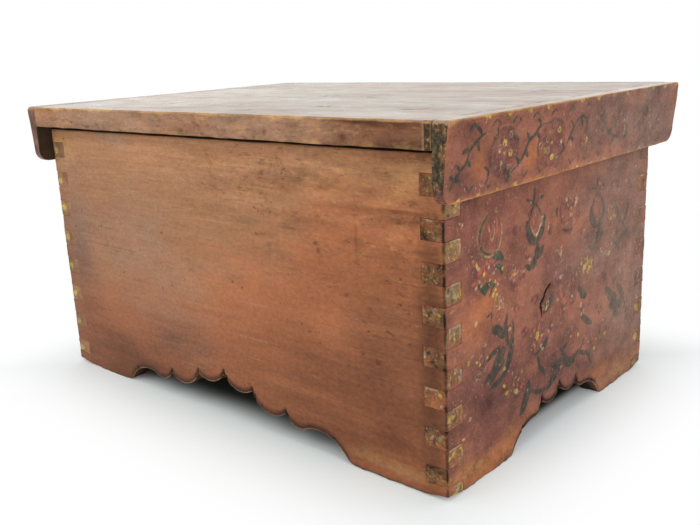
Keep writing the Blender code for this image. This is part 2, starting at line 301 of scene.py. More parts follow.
def wear_piece(points, faces, seed, weight, dents, hollow=None):
    """Rubs the edges round, presses shallow dents into the faces and sinks the splits. Never outward."""
    sizes = bpy.context.scene.box_sizes
    pairs = edge_pairs(faces)
    near_edge = edge_distance(points, faces, pairs)
    uneven = 0.55 + 0.45 * ripple(points, 0.022, seed) + 0.25 * ripple(points, 0.006, seed + 1)
    reach = np.exp(-((near_edge / RUBBED_WIDTH) ** 2))
    amount = np.clip(weight * reach * np.clip(uneven, 0.12, 1.3), 0.0, 0.8)
    worn = rub(points, pairs, amount, sizes.wear_rounds)
    normals = point_normals(worn, faces)
    depth = dents * (0.5 + 0.5 * np.clip(ripple(points, 0.05, seed + 2), -1, 1))
    depth += 0.35 * dents * np.clip(ripple(points, 0.012, seed + 3), 0, 1)
    depth *= 1 - np.exp(-((near_edge / UNDENTED_WIDTH) ** 2))
    if hollow is not None:
        depth = depth + sizes.split_depth * hollow
    return worn - normals * depth[:, None], near_edge


SHARP_ANGLE = radians(52)


def add_mesh_piece(name, points, faces, zones, layers, finishes, body, slot, *nodes):
    """Makes the object, gives it its paint layers and finishes, and sets it on its body."""
    mesh = bpy.data.meshes.new(name)
    mesh.vertices.add(len(points))
    mesh.vertices.foreach_set("co", points.astype(np.float32).ravel())
    mesh.loops.add(faces.size)
    mesh.loops.foreach_set("vertex_index", faces.astype(np.int32).ravel())
    mesh.polygons.add(len(faces))
    mesh.polygons.foreach_set("loop_start", np.arange(0, faces.size, 4, dtype=np.int32))
    mesh.polygons.foreach_set("material_index", zones.astype(np.int32))
    mesh.update(calc_edges=True)
    if mesh.validate():
        raise ValueError(f"{name} has faulty faces")
    for layer, values in layers.items():
        store = mesh.attributes.new(layer, "FLOAT", "POINT")
        store.data.foreach_set("value", values.astype(np.float32))
    for finish in finishes:
        mesh.materials.append(finish)
    mesh.shade_smooth()
    mesh.set_sharp_from_angle(angle=SHARP_ANGLE)
    piece = bpy.data.objects.new(name, mesh)
    bpy.context.scene.collection.objects.link(piece)
    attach(piece, body)
    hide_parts(*nodes)
    return piece


# Painting


def smooth_path(points, parts=6):
    """A smooth path through the points."""
    knots = np.array([points[0], *points, points[-1]], float)
    steps = np.linspace(0.0, 1.0, parts, endpoint=False)[:, None]
    path = []
    for before, start, end, after in zip(knots, knots[1:], knots[2:], knots[3:]):
        bend = 2 * before - 5 * start + 4 * end - after
        twist = 3 * (start - end) + after - before
        path.append(start + 0.5 * steps * (end - before + steps * (bend + steps * twist)))
    return np.concatenate([*path, knots[-1:]])


class Painting:
    """Brush strokes on one flat face. Places are millimetres across and up the face."""

    def __init__(self, layers, across, up, on):
        self.layers = layers
        self.index = np.nonzero(on)[0]
        self.across = across[on]
        self.up = up[on]
        self.start = (0.0, 0.0)
        self.turned = 1.0
        self.scale = 1.0

    def move(self, start=(0.0, 0.0), turned=1.0, scale=1.0):
        """Where the next strokes start from, whether they run the other way, and how large they are."""
        self.start, self.turned, self.scale = start, turned, scale
        return self

    def place(self, points):
        return np.array(points, float) * (self.turned * self.scale, self.scale) + self.start

    def near(self, points, margin):
        low, high = points.min(axis=0) - margin, points.max(axis=0) + margin
        inside = (self.across > low[0]) & (self.across < high[0]) & (self.up > low[1]) & (self.up < high[1])
        return np.nonzero(inside)[0]

    def lay(self, layer, chosen, values):
        target = self.layers[layer]
        places = self.index[chosen]
        target[places] = np.maximum(target[places], values)

    def stroke(self, layer, points, width, ends=0.35, faint=0.0):
        """A brush stroke through the points, thinner at its ends. A faint one wears away first."""
        path = smooth_path(self.place(points))
        chosen = self.near(path, 4.0 + width)
        spots = np.stack([self.across[chosen], self.up[chosen]], axis=1)
        swell = np.sin(np.linspace(0.0, pi, len(path))) ** 0.6
        half = 0.5 * width * self.scale * (ends + (1 - ends) * swell)
        best = np.full(len(chosen), FAR_OUTSIDE)
        for start, end, first, last in zip(path, path[1:], half, half[1:]):
            run = end - start
            along = ((spots - start) @ run / max(run @ run, 1e-9)).clip(0, 1)
            gap = np.linalg.norm(spots - start - along[:, None] * run, axis=1)
            best = np.maximum(best, first + (last - first) * along - gap)
        self.lay(layer, chosen, best - faint)

    def spot(self, layer, centre, wide, tall=None, turn=0.0, faint=0.0, most=9.0):
        """A round or oval dab, given by its width and height. A low most leaves it thin all over."""
        middle = self.place([centre])[0]
        half = np.array([wide, tall or wide]) * 0.5 * self.scale
        chosen = self.near(middle[None], half.max() + 4.0)
        x, y = self.across[chosen] - middle[0], self.up[chosen] - middle[1]
        turn *= self.turned
        away = np.hypot(
            (x * cos(turn) + y * sin(turn)) / half[0], (y * cos(turn) - x * sin(turn)) / half[1]
        )
        self.lay(layer, chosen, np.minimum((1 - away) * half.min(), most) - faint)

    def ring(self, layer, centre, size, width, faint=0.0):
        middle = self.place([centre])[0]
        chosen = self.near(middle[None], size * self.scale + 4.0)
        away = np.hypot(self.across[chosen] - middle[0], self.up[chosen] - middle[1])
        self.lay(layer, chosen, 0.5 * width - np.abs(away - 0.5 * size * self.scale) - faint)

    def panel(self, layer, low, high, corner=1.2, cap=1.0):
        """A rectangle with round corners. A low cap wears it away all over."""
        low, high = np.array(low, float), np.array(high, float)
        chosen = self.near(np.stack([low, high]), 3.0)
        middle, half = (low + high) / 2, (high - low) / 2 - corner
        x = np.abs(self.across[chosen] - middle[0]) - half[0]
        y = np.abs(self.up[chosen] - middle[1]) - half[1]
        gap = np.hypot(np.maximum(x, 0), np.maximum(y, 0)) + np.minimum(np.maximum(x, y), 0)
        self.lay(layer, chosen, np.minimum(corner - gap, cap))


def shifted(points, x, y):
    return [(x + across, y + up) for across, up in points]


FLOWER_PETALS = {
    "rose": ("petal", "petal", "cream", "petal", "dot"),
    "berry": ("cream", "petal", "cream", "petal", "cream"),
    "gold": ("dot", "dot", "cream", "dot", "petal"),
}


def flower(paint, x, y, wide, tall, kind, seed, faint=0.0, most=-0.05):
    """A round flower head: a maroon ground with petals, or small rings of berries, round a yellow eye."""
    draw = np.random.default_rng(seed)
    paint.spot("bloom", (x, y), wide, tall, 0.2, faint, most)
    for reach, count in ((0.36, 5), (0.74, 5 + int(0.2 * wide))):
        for number in range(count):
            angle = 2 * pi * (number + draw.uniform(-0.3, 0.3)) / count
            spot = (x + 0.5 * reach * wide * cos(angle), y + 0.5 * reach * tall * sin(angle))
            layer = FLOWER_PETALS[kind][draw.integers(5)]
            size = draw.uniform((2.6, 1.5), (4.6, 2.6))
            hidden = faint + draw.uniform(0.0, 0.45)
            if kind == "berry":
                paint.ring(layer, spot, 0.85 * size[0], 1.1, hidden + 0.1)
            else:
                paint.spot(layer, spot, *size, angle, hidden)
    paint.spot("dot", (x, y), 2.8, 2.4, 0.0, faint)


BUD_OUTLINE = ((9, 12), (-1, 13.5), (-10, 8), (-13, -1), (-9, -10), (0, -13.5), (9, -11), (13, -2), (12, 6))
# The strokes of a bud: layer, width, thickness of the ends, faintness, points
BUD_STROKES = (
    ("leaf", 2.2, 0.5, 0.3, ((-2, 12), (-9, 6), (-11, -1), (-7, -9), (1, -12), (8, -9))),
    ("tile", 1.3, 0.7, -0.1, BUD_OUTLINE),
    ("cream", 1.0, 0.6, 0.1, BUD_OUTLINE[4:]),
    ("tile", 1.1, 0.6, -0.1, ((0, 11), (-7, 5), (-9, -2), (-5, -9), (2, -10))),
    ("petal", 2.8, 0.3, 0.2, ((-3, 7), (1, 0), (-1, -7))),
    ("petal", 2.4, 0.3, 0.2, ((7, 9), (8, 1), (5, -6))),
    ("cream", 1.5, 0.4, 0.15, ((3, 6), (5, 0), (2, -5))),
)


def bud(paint, x, y):
    """A round bud with an olive double outline and thin petals inside."""
    paint.spot("bloom", (x, y), 26, 28, most=-0.25)
    for layer, width, ends, faint, points in BUD_STROKES:
        paint.stroke(layer, shifted(points, x, y), width, ends, faint)


# The dark strokes of a tulip, from its foot: width, points
TULIP_STROKES = (
    (3.0, (-2, 46), (-2.5, 42), (-3, 37)), (2.6, (-12, 40.5), (-7, 38.5), (-3, 37)),
    (2.6, (2, 38), (6, 38.5), (9, 40)), (2.2, (-2, 37), (-7, 30), (-10, 23)),
    (2.2, (-1, 37), (4, 31), (9, 25)), (7.5, (-11, 26), (-8.5, 17), (-1, 11)),
    (6.0, (10, 27), (7.5, 18), (2, 11)), (4.2, (0, 12), (3, 8), (0, 5), (2, 1)),
    (5.6, (-14, -1), (-6, -4), (0, 1), (6, 4), (9, 7)),
)


def tulip(paint, x, y, faint=0.0):
    """A tulip drawn in dark strokes from its foot upwards."""
    for width, *points in TULIP_STROKES:
        paint.stroke("leaf", shifted(points, x, y), width, 0.3, faint)
    paint.stroke("cream", shifted([(-8, 24), (0, 15.5), (8, 24)], x, y), 1.6, 0.4, 0.15 + faint)
    paint.stroke("petal", shifted([(-5, 28), (-2, 23)], x, y), 2.8, 0.4, faint)
    for across in (-7, 4.5):
        paint.spot("cream", (x + across, y + 38), 2.2, faint=faint)


# The flowers of one end, in millimetres from its back corner and from the floor
GARLAND_FLOWERS = (
    (40, 131, 34, 24, "rose"),
    (35, 76, 22, 20, "berry"),
    (103, 72, 25, 22, "rose"),
    (146, 152, 30, 28, "berry"),
    (74, 50, 34, 22, "rose"),
    (57, 106, 18, 16, "berry"),
    (74, 123, 14, 12, "berry"),
    (133, 123, 14, 11, "berry"),
    (114, 90, 26, 18, "berry"),
    (146, 98, 34, 28, "berry"),
    (170, 107, 26, 14, "gold"),
    (200, 110, 18, 14, "berry"),
    (190, 46, 34, 20, "rose"),
    (208, 134, 22, 22, "rose"),
    (150, 60, 22, 16, "berry"),
    (240, 150, 30, 26, "berry"),
)
GARLAND_LEAVES = (
    (2.2, (42, 104), (48, 104.5), (47, 99)),
    (7.0, (49, 94), (55, 92), (62, 86)),
    (4.5, (66, 101), (64, 90), (67, 78)),
    (7.0, (72, 85), (70, 73), (66, 62)),
    (9.0, (62, 79), (55, 71), (46, 60)),
    (6.0, (62, 70), (52, 66), (40, 63)),
    (5.0, (66, 62), (56, 58), (44, 57)),
    (4.5, (58, 81), (50, 79), (42, 76)),
    (6.0, (112, 88), (117, 92), (122, 97)),
    (5.0, (109, 64), (114, 66), (118, 70)),
    (3.6, (104, 61), (107, 52), (112, 46), (114, 42)),
    (8.5, (93, 45), (90, 36), (83, 26)),
    (3.6, (90, 42), (98, 37), (108, 33.5), (120, 34), (127, 39)),
    (6.5, (117, 32), (124, 36), (131, 38)),
    (7.0, (123, 47), (130, 44), (138, 47)),
    (3.6, (134, 57), (142, 48), (150, 43), (160, 44), (168, 48)),
    (6.0, (140, 46), (147, 41), (157, 40)),
    (4.2, (160, 46), (169, 42), (178, 38), (184, 28)),
    (7.0, (160, 94), (165, 88), (172, 84)),
    (5.5, (164, 72), (172, 66), (183, 60)),
    (9.0, (203, 82), (212, 74), (222, 70)),
    (9.0, (211, 66), (224, 64), (238, 62)),
    (7.0, (222, 81), (230, 73), (236, 65)),
    (6.0, (218, 59), (224, 56), (231, 54)),
    (2.6, (128, 156), (126.5, 152), (128, 149)),
    (2.2, (70, 99), (73, 88), (70, 74), (60, 60)),
    (2.0, (36, 84), (40, 79), (37, 73), (32, 75)),
    (2.0, (97, 65), (100, 62), (106, 62), (113, 67)),
    (2.2, (133, 40), (136, 48), (141, 55), (146, 57)),
    (2.6, (133, 141), (141, 137.5), (151, 138)),
)
GARLAND_SMOKE = (
    (7.0, (128, 84), (130, 74), (128, 62)), (7.0, (138, 86), (137, 74), (138, 61)),
    (6.0, (146, 83), (145, 73), (146, 64)), (15.0, (204, 80), (218, 72), (234, 62)),
    (12.0, (212, 64), (225, 66), (240, 70)), (11.0, (63, 92), (60, 78), (50, 60)),
    (12.0, (186, 142), (190, 130), (188, 118)), (9.0, (216, 128), (226, 124), (238, 120)),
    (9.0, (112, 90), (120, 92), (127, 90)), (8.0, (136, 104), (142, 99), (150, 97)),
    (9.0, (92, 68), (100, 64), (112, 66)), (8.0, (150, 70), (158, 62), (160, 52)),
)
GARLAND_GREENS = (
    (6.5, (50, 140), (55, 139.5), (60, 136)), (4.2, (53, 133), (57, 132), (60, 127)),
    (6.0, (34, 125), (41, 121.5), (48, 125)), (3.0, (46, 116), (49, 121), (52, 123)),
    (4.0, (112, 94), (117, 92), (121, 96)), (3.0, (100, 62), (106, 63), (112, 68)),
)
GARLAND_DABS = {
    "petal": (
        (30, 140, 4.5, 4), (36, 134, 5.5, 5), (43, 137.5, 4, 4), (33, 128, 4.5, 4), (41, 131, 7, 5.5),
        (56, 124, 4, 4), (47, 127, 4, 4), (74, 124, 6, 5), (72, 96, 5, 4), (98, 70, 5, 5),
        (107, 70, 5.5, 5), (102, 66, 5, 4), (172, 108, 5, 4), (214, 135, 6, 8), (150, 60, 5, 4),
        (112, 143, 3.4, 6), (116, 148, 3, 5), (137, 90, 4, 4), (128, 110, 4, 4), (190, 96, 5, 4),
    ),
    "dot": (
        (50, 116, 3.6, 3.6), (54, 115, 3.6, 3.2), (52, 118.5, 3, 2.6), (53, 112.5, 2.8, 2.6),
        (46, 126, 3, 2.8), (52, 124, 2.8, 2.8), (60, 130, 2.6, 2.6), (23, 81, 3.6, 3.2), (31.5, 78.5, 3, 3),
        (43, 78, 2.8, 2.8), (103, 74.5, 6.5, 6), (66, 47, 5.2, 4.4), (77, 44, 5.2, 4.6), (163, 110, 5, 4),
        (168, 106, 6, 5), (175, 104, 5, 4), (166, 102.5, 4, 3.4), (179, 108, 4, 3.4), (207, 108, 4, 4),
        (161, 58, 4, 4), (187, 40, 5, 4), (204, 46, 5.4, 4.6), (99, 79, 2.6, 2.6),
    ),
    "cream": (
        (28, 141.5, 3, 2.6), (34, 136, 3, 2.6), (45, 134, 3.2, 3), (50, 129.5, 3, 3), (37, 125, 3.4, 2.6),
        (55, 121.5, 2.8, 2.4), (31, 103, 3.6, 3), (24, 45, 3.4, 2.8), (27, 84, 3, 2.4), (34, 88.5, 3, 2.2),
        (41, 87, 3, 2.2), (106, 97, 3, 3), (71, 101, 3, 2.4), (133, 124, 5, 3), (134, 107, 5, 3.4),
        (140, 159, 4, 4), (153, 155, 4.4, 4.4), (145, 148, 4, 4), (165, 72, 3.4, 3.4), (248, 166, 4, 3),
        (232, 158, 4.4, 3), (100, 68, 2.6, 2.6), (109, 73, 2.6, 2.6), (76, 123, 2.6, 2.2),
        (127, 112, 3, 2.4), (122, 88, 3, 2.4), (130, 92, 3, 2.4),
    ),
}


def small_blossoms(paint, reach, seed):
    """Small faded blossoms strewn between the flowers."""
    draw = np.random.default_rng(seed)
    for _ in range(70):
        spot = draw.uniform((60, 40), (reach - 8, 168))
        paint.spot("bloom", spot, *draw.uniform((5, 4), (10, 9)), 0.0, 0.0, 0.35)
        for _ in range(draw.integers(1, 4)):
            layer = ("petal", "cream", "petal")[draw.integers(3)]
            dab = draw.uniform((2.0, 1.8), (4.0, 3.6))
            paint.spot(layer, spot + draw.uniform(-3, 3, 2), *dab, 0.0, draw.uniform(0.0, 0.4))


def garland(paint, reach=270.0):
    """The flowers of one end, from its corner as far as reach."""
    bud(paint, 46, 154)
    tulip(paint, 100, 127)
    for across, up, faint in ((187, 121, 0.2), (228, 116, 0.5)):
        if across < reach:
            tulip(paint, across, up, faint)
    for width, *points in GARLAND_LEAVES:
        if points[0][0] < reach:
            paint.stroke("leaf", points, width, 0.25, 0.35 if points[0][0] > 190 else 0.05)
    for width, *points in GARLAND_SMOKE:
        if points[0][0] < reach:
            paint.stroke("leaf", points, width, 0.4, 0.5 * width + 0.02)
    small_blossoms(paint, reach, 7)
    for width, *points in GARLAND_GREENS:
        paint.stroke("green", points, width, 0.25, 0.1)
    for number, (across, up, wide, tall, kind) in enumerate(GARLAND_FLOWERS):
        if across < reach:
            flower(paint, across, up, wide, tall, kind, number, 0.2 if across > 180 else 0.0)
    for layer, dabs in GARLAND_DABS.items():
        for across, up, wide, tall in dabs:
            if across < reach:
                paint.spot(layer, (across, up), 0.8 * wide, 0.8 * tall, 0.3)


def corner_flecks(paint, seed):
    """Small chips of older paint between the finger tips beside the back corner."""
    draw = np.random.default_rng(seed)
    for _ in range(95):
        spot = draw.uniform((0.5, 6), (19, 190))
        layer = ("petal", "cream", "dot", "petal")[draw.integers(4)]
        size = draw.uniform((1.2, 0.9), (3.6, 1.8))
        turn = draw.uniform(-0.6, 1.6)
        paint.spot(layer, spot, *size, turn, draw.uniform(0.1, 0.5))


def sprig(paint, stem, leaflets, faint=0.0):
    """A bending stem with pointed leaflets, as along the cleats."""
    paint.stroke("leaf", stem, 2.2, 0.5, faint)
    for start, end in leaflets:
        middle = ((start[0] + end[0]) / 2 + 0.4, (start[1] + end[1]) / 2 + 0.5)
        paint.stroke("leaf", [start, middle, end], 2.5, 0.2, faint)


# Sprigs along a cleat, in millimetres from its back end and its foot: faintness, stem, leaflets
CLEAT_SPRIGS = (
    (
        0.0,
        ((6, 8), (9, 13), (14, 17), (19, 21), (22, 27), (28, 31), (33, 34), (41, 35.5)),
        (
            ((9, 13), (5, 15)), ((9, 13), (15, 11)), ((14, 17), (9, 21)), ((19, 21), (24, 18)),
            ((22, 27), (15, 27)), ((28, 31), (31, 26)), ((33, 34), (26, 40)), ((26, 40), (20, 38)),
        ),
    ),
    (
        0.0,
        ((66, 9), (74, 13), (80, 19), (84, 25), (91, 28.5), (97, 33), (109, 33.5)),
        (
            ((74, 13), (71, 17)), ((80, 19), (84, 16)), ((84, 25), (81, 30)), ((91, 28.5), (96, 26)),
            ((97, 33), (92, 37)),
        ),
    ),
    (
        0.1,
        ((120, 12), (129, 15), (134, 21), (139, 27), (146, 33.5), (156, 31.5)),
        (((129, 15), (125, 19)), ((134, 21), (140, 19)), ((139, 27), (134, 32)), ((146, 33), (151, 27))),
    ),
    (
        -0.2,
        ((172, 33), (178, 29), (185, 24), (191, 18.5), (199, 15.5), (209, 13)),
        (((178, 29), (181, 34)), ((185, 24), (180, 20)), ((191, 18.5), (197, 22)), ((199, 15), (196, 10))),
    ),
    (0.0, ((230, 35), (236, 27), (239, 20), (243, 13)), (((236, 27), (243, 28)), ((239, 20), (233, 17)))),
    (0.3, ((262, 10), (270, 18), (276, 28), (287, 33)), (((270, 18), (278, 15)), ((276, 28), (270, 34)))),
)
CLEAT_HOOKS = (
    ((37, 16), (42, 14), (42, 9), (39, 6)), ((45, 31), (49, 31), (49, 37.5)),
    ((59, 11), (63.5, 11), (63, 6)), ((66, 33), (67, 28.5), (72, 27.5)), ((153, 22), (157, 24), (156, 30)),
    ((215, 12), (219, 14), (218, 20)),
)


CLEAT_HEADS = ((57, 22, 32, 29), (112, 21, 36, 30), (158, 18, 20, 18), (213, 25, 28, 24), (256, 24, 24, 22))
CLEAT_RINGS = ((57, 27), (64, 21), (104, 17), (114, 12), (120, 28))
CLEAT_CREAM_DABS = (
    (52, 23), (58, 21.5), (55, 16), (108, 28), (124, 20), (137, 17), (207, 30), (218, 26), (216, 18),
    (255, 28),
)
CLEAT_RED_DABS = ((129, 23), (159, 17), (211, 24), (249, 21))


def cleat_band(paint):
    """Sprigs, flower heads, chevrons and edge dots along one cleat, fainter towards the front."""
    for faint, stem, leaflets in CLEAT_SPRIGS:
        sprig(paint, stem, leaflets, faint)
    for number, head in enumerate(CLEAT_HEADS):
        flower(paint, *head, "berry", 20 + number, 0.12 + 0.05 * number, 0.4)
    for spot in CLEAT_RINGS:
        paint.ring("dot", spot, 2.8, 1.2)
    for spot in CLEAT_CREAM_DABS:
        paint.spot("cream", spot, 2.2, 2.6)
    for spot in CLEAT_RED_DABS:
        paint.spot("petal", spot, 3.2)
    for number in range(13):
        across = 25 + 21.8 * number
        faint = min(0.5, 0.05 * number)
        paint.stroke("leaf", [(across - 4.6, 37.6), (across, 41), (across + 4.8, 38)], 2.0, 0.4, faint)
        layer = "petal" if number in (4, 9) else "dot"
        paint.spot(layer, (across + 13, 43.8), 6.0, 4.2, 0.0, 0.6 * faint)
    for number in range(14):
        across = 24 + 19.3 * number
        faint = min(0.5, 0.05 * number)
        paint.stroke("leaf", [(across - 3.6, 8), (across, 4.4), (across + 3.6, 7.6)], 1.9, 0.4, faint)
        paint.spot("dot", (across - 9.4, 1.2), 4.4, 2.6, 0.0, 0.15 + 0.04 * number)
    for hook in CLEAT_HOOKS:
        paint.stroke("leaf", hook, 2.1, 0.5)


TIP_WIDTH = 16.0
# How much of a finger tip's olive is left, by its height
TIP_HEIGHTS = (15, 40, 65, 110, 200)
TIP_KEPT = (0.8, 0.5, 0.35, 0.8, 1.0)


def plain_tip(paint, middle, draw):
    """A bare finger tip with one olive and one yellow dab at its outer side."""
    paint.spot("tile", (4.5, middle), 9.0, 9.0, draw.uniform(-0.5, 0.5), draw.uniform(-0.2, 0.4))
    paint.spot("dot", (4.0, middle + draw.uniform(-2, 2)), 7.0, 5.0, 0.3, draw.uniform(-0.2, 0.5))


def olive_tip(paint, low, high, draw, olive):
    """A worn olive square with small dabs and broken borders."""
    middle = (low + high) / 2
    kept = olive * np.interp(middle, TIP_HEIGHTS, TIP_KEPT) * draw.uniform(0.75, 1.15)
    paint.panel("tile", (0.4, low + 0.4), (TIP_WIDTH - 1.0, high - 0.6), 2.2, cap=1.1 * kept - 0.5)
    line = 0.35 - 0.4 * olive
    more = 3 if olive > 0.7 else 0
    for layer, count, faint in (
        ("leaf", 4, 0.3), ("petal", 3, 0.4), ("cream", 3 + more, 0.4), ("dot", 2 + more, 0.4)
    ):
        for _ in range(count):
            spot = draw.uniform((2.5, low + 2.0), (TIP_WIDTH - 2.5, high - 2.0))
            end = spot + draw.uniform(-2.6, 2.6, 2)
            bend = 0.5 * (spot + end) + draw.uniform(-0.8, 0.8, 2)
            paint.stroke(layer, [spot, bend, end], draw.uniform(1.4, 2.8), 0.4, faint)
    if middle < 60 and olive < 0.5:
        paint.spot("dot", (10.0, middle), 8.0, 7.0, 0.4, 0.2)
    if middle < 75 and olive > 0.6:
        for _ in range(3):
            spot = draw.uniform((2.5, middle - 2.0), (9.0, high - 1.5))
            paint.spot("dot", spot, draw.uniform(2.5, 5.0), draw.uniform(2.0, 4.0))
    edge = draw.uniform(low + 2, middle)
    side = "dot" if draw.uniform() < 0.4 else "cream"
    inner_side = [(TIP_WIDTH - 1.4, edge), (TIP_WIDTH - 0.9, middle), (TIP_WIDTH - 1.4, high - 1.2)]
    paint.stroke(side, inner_side, 1.7, 0.5, line)
    border = "petal" if draw.uniform() < 0.5 else "cream"
    start = draw.uniform(1.5, 8.0)
    upper = [(start, high - 0.9), (0.5 * (start + TIP_WIDTH), high - 0.5), (TIP_WIDTH - 1.0, high - 0.4)]
    paint.stroke(border, upper, 1.6, 0.5, line)
    lower = [(1.0, low + 0.2), (TIP_WIDTH / 2, low + 0.6), (TIP_WIDTH - start, low + 0.4)]
    paint.stroke("petal", lower, 1.3, 0.5, line + 0.15)


def finger_tips(paint, spans, seed, olive=0.8):
    """The ends of the fingers, olive or nearly bare. The face is as wide as the board is thick."""
    draw = np.random.default_rng(seed)
    for low, high in spans:
        low, high = low * TO_MM, high * TO_MM
        if olive < 0.2:
            plain_tip(paint, (low + high) / 2, draw)
        else:
            olive_tip(paint, low, high, draw, olive)


# Finishes


# Broad streaks of wood: patches to the metre along and across, detail, roughness
STREAK = (4.0, 60.0, 4.0, 0.6)


class Finish:
    """One material, built node by node. Grain runs along one axis of the frame."""

    def __init__(self, name, along):
        self.material = bpy.data.materials.new(name)
        self.material.use_nodes = True
        self.tree = self.material.node_tree
        self.shader = self.tree.nodes["Principled BSDF"]
        self.along = along
        self.spot = self.tree.nodes.new("ShaderNodeTexCoord").outputs["Object"]

    def feed(self, socket, value):
        if isinstance(value, bpy.types.NodeSocket):
            self.tree.links.new(value, socket)
        elif socket.type == "RGBA":
            socket.default_value = (*value, 1.0)
        else:
            socket.default_value = value

    def math(self, operation, *values, clamp=False):
        node = self.tree.nodes.new("ShaderNodeMath")
        node.operation = operation
        node.use_clamp = clamp
        for socket, value in zip(node.inputs, values):
            self.feed(socket, value)
        return node.outputs[0]

    def mix(self, amount, first, second, blend="MIX"):
        node = self.tree.nodes.new("ShaderNodeMix")
        node.data_type = "RGBA"
        node.blend_type = blend
        self.feed(node.inputs["Factor"], amount)
        self.feed(node.inputs[6], first)
        self.feed(node.inputs[7], second)
        return node.outputs[2]

    def ease(self, value, low, high, start=0.0, end=1.0):
        """A soft step from start to end as the value goes from low to high."""
        node = self.tree.nodes.new("ShaderNodeMapRange")
        node.interpolation_type = "SMOOTHSTEP"
        for socket, number in zip(node.inputs, (value, low, high, start, end)):
            self.feed(socket, number)
        return node.outputs["Result"]

    def noise(self, along, across, detail=3.0, rough=0.55, shift=0.0):
        """Noise with that many patches to the metre along the grain and across it."""
        stretch = [across, across, across]
        stretch[self.along] = along
        move = self.tree.nodes.new("ShaderNodeMapping")
        move.inputs["Scale"].default_value = stretch
        move.inputs["Location"].default_value = (shift, 1.7 * shift, 0.6 * shift)
        self.feed(move.inputs["Vector"], self.spot)
        node = self.tree.nodes.new("ShaderNodeTexNoise")
        node.inputs["Scale"].default_value = 1.0
        node.inputs["Detail"].default_value = detail
        node.inputs["Roughness"].default_value = rough
        self.feed(node.inputs["Vector"], move.outputs[0])
        return node.outputs[0]

    def layer(self, name):
        node = self.tree.nodes.new("ShaderNodeAttribute")
        node.attribute_name = name
        return node.outputs["Fac"]

    def scaled(self, value, amount, middle=0.5):
        """How far the value lies from its middle, times an amount."""
        return self.math("MULTIPLY", self.math("SUBTRACT", value, middle), amount)

    def total(self, *terms):
        """The sum of the terms. A tuple stands for a scaled value."""
        parts = [self.scaled(*term) if isinstance(term, tuple) else term for term in terms]
        result = parts[0]
        for part in parts[1:]:
            result = self.math("ADD", result, part)
        return result

    def bump(self, height, depth, strength=1.0):
        node = self.tree.nodes.new("ShaderNodeBump")
        node.inputs["Strength"].default_value = strength
        node.inputs["Distance"].default_value = depth
        self.feed(node.inputs["Height"], height)
        self.feed(self.shader.inputs["Normal"], node.outputs[0])

    def surface(self, colour, roughness, specular=0.5):
        self.feed(self.shader.inputs["Base Color"], colour)
        self.feed(self.shader.inputs["Roughness"], roughness)
        self.shader.inputs["Specular IOR Level"].default_value = specular
        return self.material

    def wood(self, pale, dark, figure=0.8, fine=1.0):
        """Grained wood as its colour and its fine fibre."""
        streak = self.noise(*STREAK)
        band = self.noise(1.6, 22.0, 2.0, 0.5, 7.3)
        lines = self.noise(13.0, 250.0, 3.0, 0.7, 14.0)
        fibre = self.noise(28.0, 600.0, 3.0, 0.65, 3.1)
        flecks = self.noise(60.0, 900.0, 2.0, 0.6, 11.0)
        grain = self.total(
            (streak, 1.3 * figure),
            (band, 1.0 * figure),
            (lines, fine * (0.4 + 0.6 * figure)),
            (fibre, 0.6 * fine),
            0.5,
        )
        shade = self.mix(self.math("MAXIMUM", self.math("MINIMUM", grain, 1.0), 0.0), dark, pale)
        pores = self.ease(flecks, 0.58, 0.72, 0.0, 0.28)
        return self.mix(pores, shade, [0.4 * part for part in dark]), fibre

    def shaded(self, colour, *amounts):
        """The colour, lighter or darker by the sum of the amounts."""
        factor = self.math("MAXIMUM", self.total(1.0, *amounts), 0.06)
        return self.mix(1.0, colour, factor, "MULTIPLY")

    def stained(self, colour, stain, value, low, high, most=1.0):
        """The colour, stained where the value is high."""
        return self.mix(self.ease(value, low, high, 0.0, most), colour, stain)

    def paint_over(self, colour, layers, rub_off, strength, vary):
        """Lays the painted layers over a colour, worn away by rub_off, and says where paint stands."""
        colours = bpy.context.scene.box_colours
        raised = None
        for layer in layers:
            fresh = getattr(colours, layer)
            faded = [0.6 * value + 0.26 * dusty for value, dusty in zip(fresh, colours.dust)]
            thickness = self.math("MINIMUM", self.layer(layer), PAINT_DEPTH)
            cover = self.ease(self.total(thickness, rub_off), -0.45, 0.6, 0.0, strength[layer])
            tint = self.mix(self.ease(vary, 0.40, 0.66), fresh, faded)
            colour = self.mix(cover, colour, tint)
            raised = cover if raised is None else self.math("MAXIMUM", raised, cover)
        return colour, raised

    def darken_with_grime_and_shade(self, colour):
        """The colour, dark with dirt in the splits and holes, and along the painted shadow line under the
        lid that the split layer holds on the back board.
        """
        return self.stained(colour, bpy.context.scene.box_colours.grime_and_shade, self.layer("split"), -0.6, 0.2)


